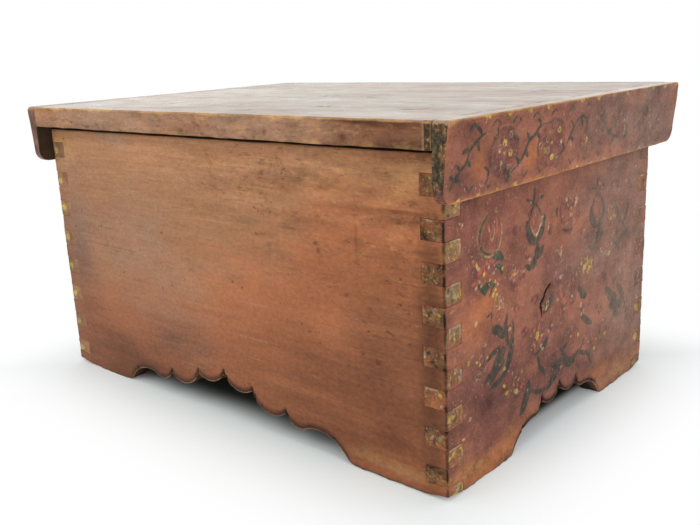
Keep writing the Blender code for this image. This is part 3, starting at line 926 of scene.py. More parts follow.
def painted_finish(name, along):
    """Worn red-brown ground with the painted layers over wood."""
    colours = bpy.context.scene.box_colours
    finish = Finish(name, along)
    wood, fibre = finish.wood(colours.wood_pale, colours.wood_dark)
    blotch = finish.noise(17.0, 20.0, 4.0, 0.6, 5.0)
    mottle = finish.noise(80.0, 95.0, 4.0, 0.68, 17.0)
    speck = finish.noise(420.0, 520.0, 3.0, 0.75, 9.0)
    flake = finish.noise(130.0, 150.0, 4.0, 0.7, 2.0)
    scratch = finish.noise(9.0, 420.0, 3.0, 0.75, 21.0)
    fleck = finish.noise(520.0, 230.0, 2.0, 0.6, 29.0)
    worn, tone = finish.layer("worn"), finish.layer("tone")
    deep = finish.total(blotch, (mottle, 0.7), (tone, -0.3, 0.0))
    ground = finish.mix(finish.ease(deep, 0.36, 0.70), colours.ground_red, colours.ground_deep)
    cover = finish.total(
        finish.layer("ground"), (blotch, 0.6), (mottle, 0.5), (fibre, 0.25), (speck, 0.4), (worn, -0.5, 0.0)
    )
    thin = finish.ease(cover, 0.08, 0.36)
    full = finish.ease(cover, 0.38, 0.70)
    colour = finish.mix(thin, wood, colours.rubbed_orange)
    colour = finish.mix(full, colour, ground)
    rub_off = finish.total((flake, 3.4), (speck, 2.6), (worn, -0.8, 0.0))
    brush = finish.noise(260.0, 200.0, 3.0, 0.6, 51.0)
    daub = finish.noise(48.0, 62.0, 4.0, 0.72, 67.0)
    colour, raised = finish.paint_over(colour, PAINT_LAYERS[:-1], rub_off, PAINT_STRENGTH, brush)
    flecks = finish.total(fleck, (blotch, 0.35), (full, 0.2, 1.0))
    colour = finish.stained(colour, colours.cream, flecks, 0.655, 0.75, 0.6)
    colour = finish.stained(colour, colours.grime_and_shade, finish.total(speck, (mottle, 0.4)), 0.66, 0.8, 0.45)
    colour = finish.stained(colour, colours.rubbed_orange, scratch, 0.64, 0.74, 0.35)
    dust = finish.total(finish.layer("grey"), (blotch, 1.2), (mottle, 0.8))
    colour = finish.stained(colour, colours.dust, dust, 0.2, 1.0, 0.55)
    gold = finish.total(finish.layer("gold"), (mottle, 1.0), (blotch, 0.8))
    colour = finish.stained(colour, colours.rubbed_gold, gold, 0.2, 0.95, 0.8)
    colour = finish.darken_with_grime_and_shade(colour)
    colour = finish.shaded(colour, (tone, 0.6, 0.0), (speck, 1.2), (mottle, 1.0), (daub, 1.7))
    height = finish.total((fibre, 0.5), (raised, 0.5, 0.0), (full, 0.4, 0.0), (speck, 0.6))
    finish.bump(height, 0.0004, 0.8)
    rough = finish.total(0.5, (mottle, 0.4), (blotch, 0.3))
    return finish.surface(colour, rough, 0.1)


def bare_finish(name, along):
    """Bare wood, stained and polished by handling, with painted finger tips."""
    colours = bpy.context.scene.box_colours
    finish = Finish(name, along)
    colour, fibre = finish.wood(colours.wood_pale, colours.wood_dark, 0.5, 1.2)
    cloud = finish.noise(9.0, 15.0, 4.0, 0.62, 5.0)
    drift = finish.noise(6.0, 13.0, 4.0, 0.6, 41.0)
    wisp = finish.noise(14.0, 120.0, 4.0, 0.65, 61.0)
    mottle = finish.noise(45.0, 90.0, 4.0, 0.68, 17.0)
    speck = finish.noise(260.0, 420.0, 3.0, 0.75, 9.0)
    scratch = finish.noise(8.0, 330.0, 3.0, 0.75, 21.0)
    spots = finish.noise(190.0, 260.0, 2.0, 0.5, 33.0)
    worn, tone = finish.layer("worn"), finish.layer("tone")
    rose = finish.total(finish.layer("ground"), (drift, 0.6), (wisp, 0.9), (mottle, 0.8), (tone, -0.3, 0.0))
    colour = finish.stained(colour, colours.rubbed_orange, rose, -0.1, 0.7, 0.92)
    grey = finish.total(finish.layer("grey"), (cloud, 1.2), (mottle, 0.8))
    colour = finish.stained(colour, colours.dust, grey, 0.05, 0.9, 0.66)
    # Low tone is stain, and on the back board also painted shade under the lid and towards the floor; high
    # tone there is painted light under the overhang.
    dark = finish.total((tone, -1.0, 0.0), (cloud, 0.9), (wisp, 1.2), (mottle, 0.7))
    colour = finish.stained(colour, colours.stain, dark, -0.1, 1.1, 0.85)
    gold = finish.total(finish.layer("gold"), (drift, -1.2), (mottle, 1.1))
    colour = finish.stained(colour, colours.rubbed_gold, gold, 0.2, 1.05, 0.6)
    rubbed = finish.total(worn, (mottle, 0.8))
    colour = finish.stained(colour, colours.rubbed_gold, rubbed, 0.5, 1.1, 0.6)
    lines = finish.ease(finish.total(scratch, (cloud, 0.3)), 0.63, 0.76, 0.0, 0.4)
    colour = finish.mix(lines, colour, colours.stain)
    colour = finish.stained(colour, colours.cream, scratch, 0.36, 0.26, 0.16)
    rough = finish.layer("rough")
    dash = finish.total(finish.noise(110.0, 340.0, 4.0, 0.78, 71.0), (drift, 0.3), (rough, 0.15))
    colour = finish.stained(colour, colours.stain, dash, 0.55, 0.72, 0.7)
    chip = finish.total(finish.noise(90.0, 260.0, 4.0, 0.78, 83.0), (rough, 0.12))
    colour = finish.stained(colour, colours.rubbed_gold, chip, 0.56, 0.74, 0.45)
    smear = finish.math("MULTIPLY", rough, finish.scaled(finish.noise(22.0, 75.0, 4.0, 0.7, 91.0), 1.8))
    dirt = finish.total(spots, (drift, 0.25), (cloud, 0.25))
    colour = finish.stained(colour, colours.stain, dirt, 0.70, 0.78, 0.75)
    rub_off = finish.total((mottle, 4.0), (speck, 2.6))
    colour, raised = finish.paint_over(colour, PAINT_LAYERS[:-1], rub_off, PAINT_STRENGTH, mottle)
    colour = finish.darken_with_grime_and_shade(colour)
    colour = finish.shaded(colour, (tone, 0.32, 0.0), (speck, 0.9), (mottle, 0.5), smear)
    height = finish.total((fibre, 0.7), (speck, 0.4), (lines, -0.8, 0.0), (raised, 0.4, 0.0))
    finish.bump(height, 0.0003, 0.7)
    dull = finish.total(0.46, (fibre, 0.3), (cloud, 0.3))
    return finish.surface(colour, dull, 0.16)


def lid_finish(name, along):
    """Rubbed lid wood with a dull sheen, scuffs and the last of a red ground."""
    colours = bpy.context.scene.box_colours
    finish = Finish(name, along)
    colour, fibre = finish.wood(colours.lid_pale, colours.lid_dark, 0.8)
    streak = finish.noise(*STREAK)
    blotch = finish.noise(10.0, 26.0, 4.0, 0.62, 5.0)
    mottle = finish.noise(50.0, 80.0, 4.0, 0.65, 17.0)
    speck = finish.noise(240.0, 420.0, 3.0, 0.7, 9.0)
    wisp = finish.noise(16.0, 130.0, 4.0, 0.7, 37.0)
    worn, tone = finish.layer("worn"), finish.layer("tone")
    stain = finish.total(blotch, (streak, 0.5), (wisp, 0.5), finish.layer("ground"))
    colour = finish.stained(colour, colours.ground_deep, stain, 0.48, 0.78, 0.45)
    rub_off = finish.total((blotch, 2.0), (speck, 3.0), (mottle, 3.0))
    strength = dict(PAINT_STRENGTH, leaf=0.92, bloom=0.35, dot=0.5)
    colour, raised = finish.paint_over(colour, ("bloom", "leaf", "dot"), rub_off, strength, mottle)
    colour = finish.stained(colour, colours.grime_and_shade, finish.total(wisp, (blotch, 0.5)), 0.66, 0.8, 0.6)
    gold = finish.total(worn, (mottle, 1.0))
    colour = finish.stained(colour, colours.rubbed_gold, gold, 0.45, 0.8, 0.9)
    colour = finish.darken_with_grime_and_shade(colour)
    colour = finish.shaded(colour, (tone, 0.5, 0.0), (mottle, 0.5), (speck, 0.4))
    finish.bump(finish.total((fibre, 0.6), (speck, 0.3)), 0.00012, 0.4)
    rough = finish.total(
        0.33,
        (blotch, 0.5),
        (wisp, 0.25),
        (mottle, 0.5),
        (raised, 0.5, 0.0),
        (finish.layer("grey"), -0.1, 0.0),
    )
    finish.shader.inputs["Coat Weight"].default_value = 0.45
    finish.shader.inputs["Coat Roughness"].default_value = 0.25
    return finish.surface(colour, rough, 0.6)


def inner_finish(name, along, depth=1.0):
    """Raw planed wood inside the box and under the lid. Depth below 1 is a darker face; on the cleats' inner
    faces it is painted shade.
    """
    colours = bpy.context.scene.box_colours
    finish = Finish(name, along)
    pale = tuple(depth * part for part in colours.inner_pale)
    dark = tuple(depth * part for part in colours.inner_dark)
    colour, fibre = finish.wood(pale, dark, 0.8)
    blotch = finish.noise(8.0, 14.0, 4.0, 0.6, 5.0)
    speck = finish.noise(150.0, 210.0, 3.0, 0.7, 9.0)
    dust = finish.ease(blotch, 0.45, 0.75, 0.0, 0.45)
    colour = finish.mix(dust, colour, tuple(0.6 * part for part in dark))
    colour = finish.darken_with_grime_and_shade(colour)
    colour = finish.shaded(colour, (speck, 0.5), (finish.layer("tone"), 0.6, 0.0))
    finish.bump(finish.total((fibre, 1.0), (speck, 0.4)), 0.0003, 0.8)
    rough = finish.total(0.68, (fibre, 0.25), (blotch, 0.2))
    return finish.surface(colour, rough, 0.25)


def end_grain_finish(name, along):
    """Rough dark end grain, rubbed golden at its upper corner."""
    colours = bpy.context.scene.box_colours
    finish = Finish(name, along)
    coarse = finish.noise(380.0, 440.0, 4.0, 0.75, 4.0)
    pits = finish.noise(560.0, 700.0, 3.0, 0.7, 13.0)
    rings = finish.noise(90.0, 150.0, 3.0, 0.6, 23.0)
    worn, tone = finish.layer("worn"), finish.layer("tone")
    dark = tuple(0.22 * part for part in colours.end_grain)
    colour = finish.mix(finish.ease(coarse, 0.40, 0.64), dark, colours.end_grain)
    colour = finish.stained(colour, colours.wood_dark, rings, 0.5, 0.7, 0.7)
    rusty = finish.total(finish.layer("rough"), (coarse, 1.4), (rings, 1.0))
    colour = finish.stained(colour, colours.ground_deep, rusty, 0.3, 0.75, 0.85)
    flecks = finish.total(coarse, (rings, 0.6), (worn, 0.08, 0.0))
    colour = finish.stained(colour, colours.rubbed_gold, flecks, 0.62, 0.74, 0.7)
    gold = finish.total(finish.layer("gold"), (worn, 0.3, 0.0), (coarse, 1.6))
    colour = finish.stained(colour, colours.rubbed_gold, gold, 0.55, 0.95, 0.85)
    colour = finish.stained(colour, colours.grime_and_shade, pits, 0.55, 0.66, 0.85)
    colour = finish.shaded(colour, (tone, 0.6, 0.0))
    finish.bump(finish.total((coarse, 1.0), (pits, -0.8)), 0.0007, 0.9)
    rough = finish.total(0.66, (coarse, 0.3))
    return finish.surface(colour, rough, 0.2)


def peg_finish(name):
    """Whittled hardwood of the pegs and pins."""
    colours = bpy.context.scene.box_colours
    finish = Finish(name, 0)
    colour, fibre = finish.wood(colours.inner_dark, colours.wood_dark, 0.6)
    speck = finish.noise(900.0, 1200.0, 2.0, 0.6, 4.0)
    finish.bump(finish.total((fibre, 0.8), (speck, 0.4)), 0.0002, 0.8)
    return finish.surface(colour, finish.total(0.55, (fibre, 0.3)), 0.35)


# Boards

# Metres. Play between joined boards, the groove's depth and the slope of its sides
JOINT_GAP = 0.0003
GROOVE_DEPTH = 0.005
GROOVE_SLOPE = 0.0002
# Spacing of the mesh through a board, and how close points of the frame count as the same place
THROUGH_STEP = 0.0014
SAME_PLACE = 1e-5
# A foot's worn corner: its reach along the board and its height, and the height of its worn sole
FOOT_REACH = 0.012
FOOT_HEIGHT = 0.024
SOLE_HEIGHT = 0.012
# How deep a board's outer face, its upper rim and the ends of its fingers reach
FACE_DEPTH = 0.003
TOP_RIM = 0.0004
TIP_DEPTH = 0.0003
# Heights of the scalloped edges, of the inner wood behind them that is darkened as painted shade under the
# box, and of the lowest point between scallops
SCALLOP_HEIGHT = 0.036
SHADED_INSIDE_HEIGHT = 0.041
CUSP_HEIGHT = 0.012


def node_points(node):
    mesh = frame["nodes"][node].data
    points = np.empty(len(mesh.vertices) * 3, np.float32)
    mesh.vertices.foreach_get("co", points)
    return points.reshape(-1, 3).astype(float)


def blank_layers(count):
    layers = {name: np.full(count, FAR_OUTSIDE) for name in PAINT_LAYERS}
    layers.update({name: np.zeros(count) for name in SHADE_LAYERS})
    return layers


def soft_patch(across, up, patches):
    """The sum of soft patches, each given by its middle, its reach across and up, and its strength."""
    total = np.zeros(len(across))
    for x, y, wide, tall, strength in patches:
        total += strength * np.exp(-(((across - x) / wide) ** 2) - ((up - y) / tall) ** 2)
    return total


def whole_slab(columns, rows, depths):
    return Slab(columns, rows, depths, np.ones((len(columns) - 1, len(rows) - 1), bool))


def rubbed_edges(points, near_edge, reach, least, wave, seed):
    """How far the finish is rubbed away beside the edges, from 0 to 1."""
    return np.clip(np.exp(-near_edge / reach) * (least + 0.5 * ripple(points, wave, seed)), 0, 1)


class WallBoard:
    """One wall of the box, with its fingers, scalloped lower edge and groove taken from the frame.

    across, up and deep place each point in metres from the wall's middle, the floor and the outer
    face. x and y are the first two in millimetres.
    """

    def __init__(self, node, fingers_like, step):
        low, high = (np.array(corner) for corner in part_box(node))
        self.node = node
        self.through = int(np.argmin((high - low)[:2]))
        self.along = 1 - self.through
        self.side = 1.0 if high[self.through] > 0.05 else -1.0
        self.outer = high[self.through] if self.side > 0 else low[self.through]
        self.middle = (low + high)[self.along] / 2
        self.half = (high - low)[self.along] / 2
        self.thick = (high - low)[self.through]
        self.top = high[2]
        self.read_frame(fingers_like)
        self.draw(step)
        self.soil()

    def read_frame(self, fingers_like):
        """The heights of the fingers, the groove and the scalloped edge, from the frame's solids."""
        fill = bpy.context.scene.box_sizes.joint_fill
        pattern = node_points(fingers_like)
        tips = pattern[:, self.along] > pattern[:, self.along].max() - SAME_PLACE
        heights = np.unique(np.round(pattern[tips, 2], 6))
        self.spans = [(max(0.0, low - fill), high + fill) for low, high in zip(heights[::2], heights[1::2])]
        floor_low, floor_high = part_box("bottom_board")
        self.floor = floor_low[2]
        self.groove = (floor_low[2] - JOINT_GAP, floor_high[2] + JOINT_GAP)
        self.body = self.half - self.thick - JOINT_GAP + 2 * fill
        own = node_points(self.node)
        rim = own[np.abs(own[:, self.through] - self.outer) < SAME_PLACE]
        across = rim[:, self.along] - self.middle
        edge = (np.abs(across) < self.body - 0.002) & (rim[:, 2] < self.floor - 0.002)
        order = np.argsort(across[edge])
        self.scallop = (across[edge][order], rim[edge, 2][order])

    def draw(self, step):
        """The closed block, with its lower edge scalloped, its groove sunk and its feet worn."""
        sizes = bpy.context.scene.box_sizes
        start, end = self.groove
        marks = {0.0, self.top, start, start + GROOVE_SLOPE, end - GROOVE_SLOPE, end}
        marks.update(value for span in self.spans for value in span)
        rows = spread(sorted(marks), step, sizes.edge_step)
        columns = spread([-self.half, -self.body, self.body, self.half], step, sizes.edge_step)
        depths = spread([0.0, self.thick], THROUGH_STEP, sizes.edge_step)
        middles = (rows[1:] + rows[:-1]) / 2
        fingers = np.any([(middles > low) & (middles < high) for low, high in self.spans], axis=0)
        keep = np.ones((len(columns) - 1, len(rows) - 1), bool)
        keep[np.abs(columns[1:] + columns[:-1]) / 2 > self.body] = fingers
        self.slab = Slab(columns, rows, depths, keep)
        across, up, deep = self.slab.spots.T
        self.lift = np.interp(across, *self.scallop, left=0.0, right=0.0)
        mapped = self.floor - 0.001
        up = np.where(up < mapped, self.lift + up / mapped * (mapped - self.lift), up)
        inside = self.slab.layer == self.slab.layer.max()
        reach = sizes.edge_step / 9
        grooved = inside & (up > start + reach) & (up < end - reach) & (np.abs(across) < self.body - 0.003)
        deep = np.where(grooved, deep - GROOVE_DEPTH, deep)
        self.corner = np.hypot(self.half - np.abs(across), deep)
        foot = sizes.foot_round * np.exp(-((self.corner / FOOT_REACH) ** 2))
        up = up + foot * np.clip(1 - up / FOOT_HEIGHT, 0, 1)
        self.points = np.empty((len(across), 3))
        self.points[:, self.along] = self.middle + across
        self.points[:, self.through] = self.outer - self.side * deep
        self.points[:, 2] = up
        self.across, self.up, self.deep = across, up, deep
        self.x, self.y = across * TO_MM, up * TO_MM
        self.layers = blank_layers(len(across))
        self.hollow = np.zeros(len(across))
        self.front = deep < FACE_DEPTH
        self.tips = np.abs(across) > self.half - TIP_DEPTH

    def soil(self):
        """Dirt at the corner joint and above the scallops, darker lower faces, a painted contact shadow
        along the feet at the floor, and the scallops' rubbed rim.
        """
        above = (self.up - self.lift) * TO_MM
        arched = np.where(np.abs(self.across) < self.body, np.clip(self.lift / 0.003, 0, 1), 0.0)
        rim = np.exp(-((above / 0.75) ** 2))
        dark_edge_and_contact_shadow = 2.3 * arched * np.exp(-((above / 2.7) ** 2)) * (1 - rim)
        # Painted contact shadow: the feet darken towards the floor.
        dark_edge_and_contact_shadow = dark_edge_and_contact_shadow + 0.7 * (1 - arched) * np.exp(-above / 1.8)
        sole = np.where((self.deep > 0.0012) & (above < 0.3), 1.0, 0.0)
        uneven = np.clip(0.8 + 0.8 * np.sin(self.up * 410) * np.sin(self.up * 173), 0.1, 1)
        self.grime_and_shade = dark_edge_and_contact_shadow + 1.1 * sole + np.exp(-((self.corner / 0.0010) ** 2)) * uneven
        bare = 0.75 if self.node == "back_board" else 0.25
        self.rim = bare * arched * rim * (self.deep < 0.0015)

    def weights(self):
        """How easily each point is rubbed away: feet most, joints least."""
        sizes = bpy.context.scene.box_sizes
        joint = np.abs(self.across) > self.body - 0.003
        corner = joint & (np.abs(self.across) > self.half - 0.001) & (self.deep < 0.001)
        weight = np.where(joint, sizes.joint_wear, sizes.edge_wear)
        weight = np.where(corner, 0.5 * (sizes.joint_wear + sizes.edge_wear), weight)
        weight = np.where((self.up < SCALLOP_HEIGHT) & ~joint, sizes.scallop_wear, weight)
        foot = np.clip(1 - self.up / SOLE_HEIGHT, 0, 1) * (np.abs(self.across) > 0.45 * self.half)
        return weight + (sizes.foot_wear - weight) * foot * np.where(joint, 0.5, 1.0)

    def painting(self):
        return Painting(self.layers, self.x, self.y, self.front)

    def tip_painting(self, end):
        on = self.tips & (np.sign(self.across) == end)
        return Painting(self.layers, self.deep * TO_MM, self.y, on)

    def split(self, points, width):
        """A dark open split: sunk in the mesh and darkened through the split layer."""
        lines = blank_layers(len(self.x))
        Painting(lines, self.x, self.y, self.front).stroke("split", points, width, 0.3)
        self.layers["split"] = np.maximum(self.layers["split"], lines["split"])
        self.hollow = np.maximum(self.hollow, np.clip((lines["split"] + 0.5) / 0.9, 0, 1))

    def cusp_cuts(self):
        """The saw's short cuts above the points between the scallops."""
        along, height = self.scallop
        bends = np.diff(height) / np.maximum(np.diff(along), 1e-6)
        sharp = (bends[:-1] - bends[1:] > 0.6) & (height[1:-1] > CUSP_HEIGHT)
        for spot in np.nonzero(sharp)[0] + 1:
            x, y = TO_MM * along[spot], TO_MM * height[spot]
            self.split(((x, y - 1.0), (x + 0.2, y + 1.6), (x, y + 3.4)), 1.1)

    def finish_piece(self, name, seed, outer, inner_name, slot):
        """Rubs the board, dresses its faces and sets it on the case."""
        sizes = bpy.context.scene.box_sizes
        layers = self.layers
        faces = outward(self.points, self.slab.faces)
        worn, near_edge = wear_piece(
            self.points, faces, seed, self.weights(), sizes.dent_depth, self.hollow
        )
        joint = np.abs(self.across) > self.body - 0.001
        layers["worn"] = rubbed_edges(self.points, near_edge, 0.0012, 0.6, 0.018, seed + 5)
        layers["worn"] *= np.where(joint, 0.2, 1.0)
        layers["gold"] = layers["gold"] + self.rim
        # The tone takes the joint and scallop dirt, the darker lower faces and the painted contact shadow at
        # the feet.
        layers["tone"] = layers["tone"] - self.grime_and_shade
        # Painted shade: the inner faces below the bottom board are darkened, as under the box.
        under = (self.deep > 0.4 * self.thick) & (self.up < SHADED_INSIDE_HEIGHT) & (
            np.abs(self.across) < self.body
        )
        layers["tone"][under] -= 0.8
        finishes = (outer, inner_finish(inner_name, self.along), outer)
        add_mesh_piece(name, worn, faces, self.slab.zones, layers, finishes, "case", slot, self.node)


# Soft patches of the back, in millimetres from its middle and the floor: place, reach, strength
BACK_PATCHES = {
    # In tone, (0, 203) and (85, 187) lighten the top band as painted light against the lid's overhang
    # shadow, (70, 125) is a painted highlight, (-176, 203) is painted shade under the lid, and (60, 12) and
    # (10, 62) darken the board towards the floor as painted shade; the rest are stains, scratches and pits.
    "tone": (
        (70, 125, 130, 70, 0.35), (0, 203, 230, 18, 0.8), (-70, 175, 110, 26, 0.15),
        (150, 34, 90, 46, -0.3), (85, 187, 85, 18, 0.6), (178, 85, 28, 45, -0.35),
        (178, 122, 20, 36, -0.35), (-114, 88, 22, 17, 0.4), (-165, 30, 30, 18, -0.2),
        (-130, 171, 40, 2.4, -0.35), (-174, 167, 18, 2.0, -0.5), (-105, 160, 30, 2.0, -0.25),
        (-150, 197, 25, 4.0, -0.35), (20, 176, 34, 3.0, -0.25), (-140, 40, 95, 45, -0.42),
        (-140, 115, 75, 50, -0.4), (60, 12, 190, 24, -0.62), (10, 62, 150, 30, -0.3),
        (-191, 92, 9, 75, -0.75), (-172, 172.2, 26, 0.9, -0.7), (-176, 203, 30, 3.5, -0.9),
        (196, 110, 6, 70, -0.25), (-111, 182, 7, 1.5, -0.7), (-75, 180, 3.5, 1.2, -0.35),
        (-34, 190, 6, 1.1, -0.4), (72, 195, 5, 1.0, -0.5), (-102, 146, 2, 1.6, -0.7),
        (-104, 142, 1.6, 1.4, -0.8), (-136, 150, 1.2, 14, -0.3), (28, 110, 2.4, 1.2, -0.6),
        (30, 123, 1.6, 1.2, -0.4), (-126, 116, 2.2, 1.0, -0.5), (92, 200, 14, 6, -0.3),
        (40, 201, 22, 4.5, -0.35), (87, 199, 5, 0.9, -0.7), (-20, 193.5, 11, 1.2, -0.5),
        (-27, 191, 4, 1.0, -0.45), (-15, 180.5, 8, 0.9, -0.7), (-40, 181, 6, 1.0, -0.6),
        (-5, 176, 5, 2, -0.3), (-35, 171, 2.2, 1.6, -0.7), (-19, 166, 6, 1.0, -0.45),
        (-32, 154, 9, 2.2, -0.35), (-54, 187, 6, 1.0, -0.5), (-57, 184, 4, 0.9, -0.5),
        (-55, 174, 3, 1.3, -0.7), (-60, 169, 1.6, 2, -0.6), (-62, 162, 1.6, 1.4, -0.6),
        (-54, 146.5, 7, 1.0, -0.5), (-60, 140, 3, 1.2, -0.6), (55, 147, 3, 1.0, -0.5),
        (53, 170, 4, 1.1, -0.3), (14, 190, 5, 1.0, -0.35),
    ),
    "ground": (
        (-150, 80, 130, 105, 1.1), (60, 20, 260, 55, 0.95), (90, 120, 60, 40, 0.1), (30, 163, 55, 26, -0.6),
        (-70, 145, 40, 30, -0.3),
    ),
    "gold": (
        (185, 196, 26, 14, 0.6), (-100, 190, 60, 10, 0.25), (-172, 190, 18, 11, 0.5),
        (-160, 11, 38, 6, 0.6),
    ),
    "rough": ((-190, 185, 130, 75, 0.8), (-40, 176, 50, 30, 0.45), (40, 195, 150, 22, 0.4)),
    "grey": (
        (60, 185, 80, 20, 0.2), (178, 120, 22, 45, 0.6), (90, 120, 110, 70, 0.3), (80, 60, 80, 40, 0.15),
        (110, 205, 20, 12, 0.4),
    ),
}
# The dark line under the lid, dirt with a painted shadow in the gap: its height in the middle, how far along
# it falls 1 mm, and its softness
LID_DIRT_AND_SHADOW_HEIGHT = 207.3
LID_DIRT_AND_SHADOW_FALL = 500
LID_DIRT_AND_SHADOW_SOFT = 0.9


def round_over(board, axis_y, axis_z):
    """Draws the outer top edge in to the arc about the hinge that the lid turns round."""
    radius = board.top - axis_z
    y, z = board.points[:, 1] - axis_y, board.points[:, 2] - axis_z
    away = np.hypot(y, z)
    past = (away > radius) & (y > 0) & (z > 0)
    shrink = np.where(past, radius / np.maximum(away, 1e-9), 1.0)
    board.points[:, 1] = axis_y + y * shrink
    board.points[:, 2] = axis_z + z * shrink


class BOX_OT_back_board(bpy.types.Operator):
    """Draw the plain worn back board with its painted finger tips"""

    bl_idname = "painted_box.back_board"
    bl_label = "Back Board"

    def execute(self, context):
        board = WallBoard("back_board", "front_board", context.scene.box_sizes.long_step)
        hinge = next(
            joint for joint in frame["record"]["behaviour"]["joints"] if joint["name"] == "lid_hinge"
        )
        round_over(board, *hinge["pos_m"][1:])
        for layer, patches in BACK_PATCHES.items():
            board.layers[layer] = soft_patch(board.x, board.y, patches)
        for end in (-1, 1):
            finger_tips(board.tip_painting(end), board.spans, 40 + end)
        # Painted shadow, with dirt, along the gap under the lid's overhang, held in the split layer.
        line = (board.y - LID_DIRT_AND_SHADOW_HEIGHT + board.x / LID_DIRT_AND_SHADOW_FALL) / LID_DIRT_AND_SHADOW_SOFT
        line = np.minimum(line + 0.3 * ripple(board.points, 0.02, 17), 0.6)
        split = board.layers["split"]
        board.layers["split"] = np.where(board.front, np.maximum(split, line), split)
        board.cusp_cuts()
        outer = bare_finish("bare_back_wood", 0)
        board.finish_piece("worn_back_board", 11, outer, "inner_wood_long", "bare_wood")
        return {"FINISHED"}


def ground_patches(board, across, tip_ground=0.3, tip_tone=-0.8):
    """Where the red ground is thick, thin and dirty on a painted wall, with across in millimetres."""
    wide = board.half * TO_MM
    layers = board.layers
    for layer, patches in (
        (
            "ground",
            (
                (0, 4, 1.2 * wide, 15, -0.62),
                (wide - 36, 112, 30, 22, -0.34),
                (wide - 30, 175, 30, 12, -0.2),
                (0, 130, 40, 40, -0.12),
                (-wide + 40, 20, 60, 22, -0.2),
            ),
        ),
        (
            "tone",
            ((wide - 70, 48, 75, 26, -0.42), (wide - 40, 112, 40, 30, 0.12), (-wide + 40, 16, 60, 20, -0.3)),
        ),
        ("gold", ((wide - 25, 11, 34, 8, 0.6), (wide - 70, 20, 12, 14, 0.4), (-wide + 20, 12, 30, 8, 0.5))),
        ("grey", ((-wide + 40, 130, 120, 110, 0.75), (-wide + 20, 30, 60, 60, 0.5))),
    ):
        layers[layer] = soft_patch(across, board.y, patches)
    layers["ground"] = 0.78 + layers["ground"]
    layers["ground"][board.tips] = tip_ground
    layers["tone"][board.tips] = tip_tone
    upper = board.up > board.top - TOP_RIM
    for layer, value in (("ground", 0.1), ("tone", -0.3), ("grey", 0.8)):
        layers[layer][upper] = value


class BOX_OT_front_board(bpy.types.Operator):
    """Draw the painted front board"""

    bl_idname = "painted_box.front_board"
    bl_label = "Front Board"

    def execute(self, context):
        board = WallBoard("front_board", "front_board", context.scene.box_sizes.long_step)
        paint = board.painting()
        for turned in (1.0, -1.0):
            garland(paint.move((-198 * turned, 0), turned), 170)
        for turned in (1.0, -1.0):
            paint.move((0, 0), turned)
            tulip(paint, -34, 60)
            paint.stroke("leaf", [(-30, 40), (-16, 46), (-3, 60)], 6.0, 0.25)
            paint.stroke("leaf", [(-26, 128), (-15, 118), (-3, 112)], 5.0, 0.25)
        for height in (140, 76):
            bud(paint, 0, height)
        for end in (-1, 1):
            finger_tips(board.tip_painting(end), board.spans, 50 + end, 0.28)
        ground_patches(board, board.x, 0.6, -0.25)
        board.layers["grey"][board.tips] = 0.6
        board.cusp_cuts()
        outer = painted_finish("painted_front_wood", 0)
        board.finish_piece("painted_front_board", 23, outer, "inner_wood_front", "painted_wood")
        return {"FINISHED"}


END_CRACK = ((120, 106), (113.6, 102), (111, 97.5), (107, 95), (108.7, 90.6), (108.8, 86))


class BOX_OT_end_boards(bpy.types.Operator):
    """Draw the two painted end boards"""

    bl_idname = "painted_box.end_boards"
    bl_label = "End Boards"

    def execute(self, context):
        for node, seed, turned in (("left_end_board", 31, -1.0), ("right_end_board", 37, 1.0)):
            board = WallBoard(node, node, context.scene.box_sizes.board_step)
            paint = board.painting()
            garland(paint.move((-turned * board.half * TO_MM, 0), turned))
            corner_flecks(paint, seed + 3)
            for end in (-1, 1):
                olive = 0.1 if turned > 0 and end > 0 else 0.6
                finger_tips(board.tip_painting(end), board.spans, seed + 20 + end, olive)
            ground_patches(board, -turned * board.x)
            if turned > 0:
                plain = board.tips & (board.across > 0)
                for layer, value in (("ground", 0.12), ("tone", -0.1), ("grey", 0.5)):
                    board.layers[layer][plain] = value
            board.split(paint.place(END_CRACK), 2.7)
            board.cusp_cuts()
            outer = painted_finish(f"painted_{node}", 1)
            board.finish_piece(f"painted_{node}", seed, outer, f"inner_wood_{node}", "painted_wood")
        return {"FINISHED"}


# The bottom's tongues: their length, and how far they stop short of its corners
TONGUE = 0.0047
TONGUE_STOP = 0.003


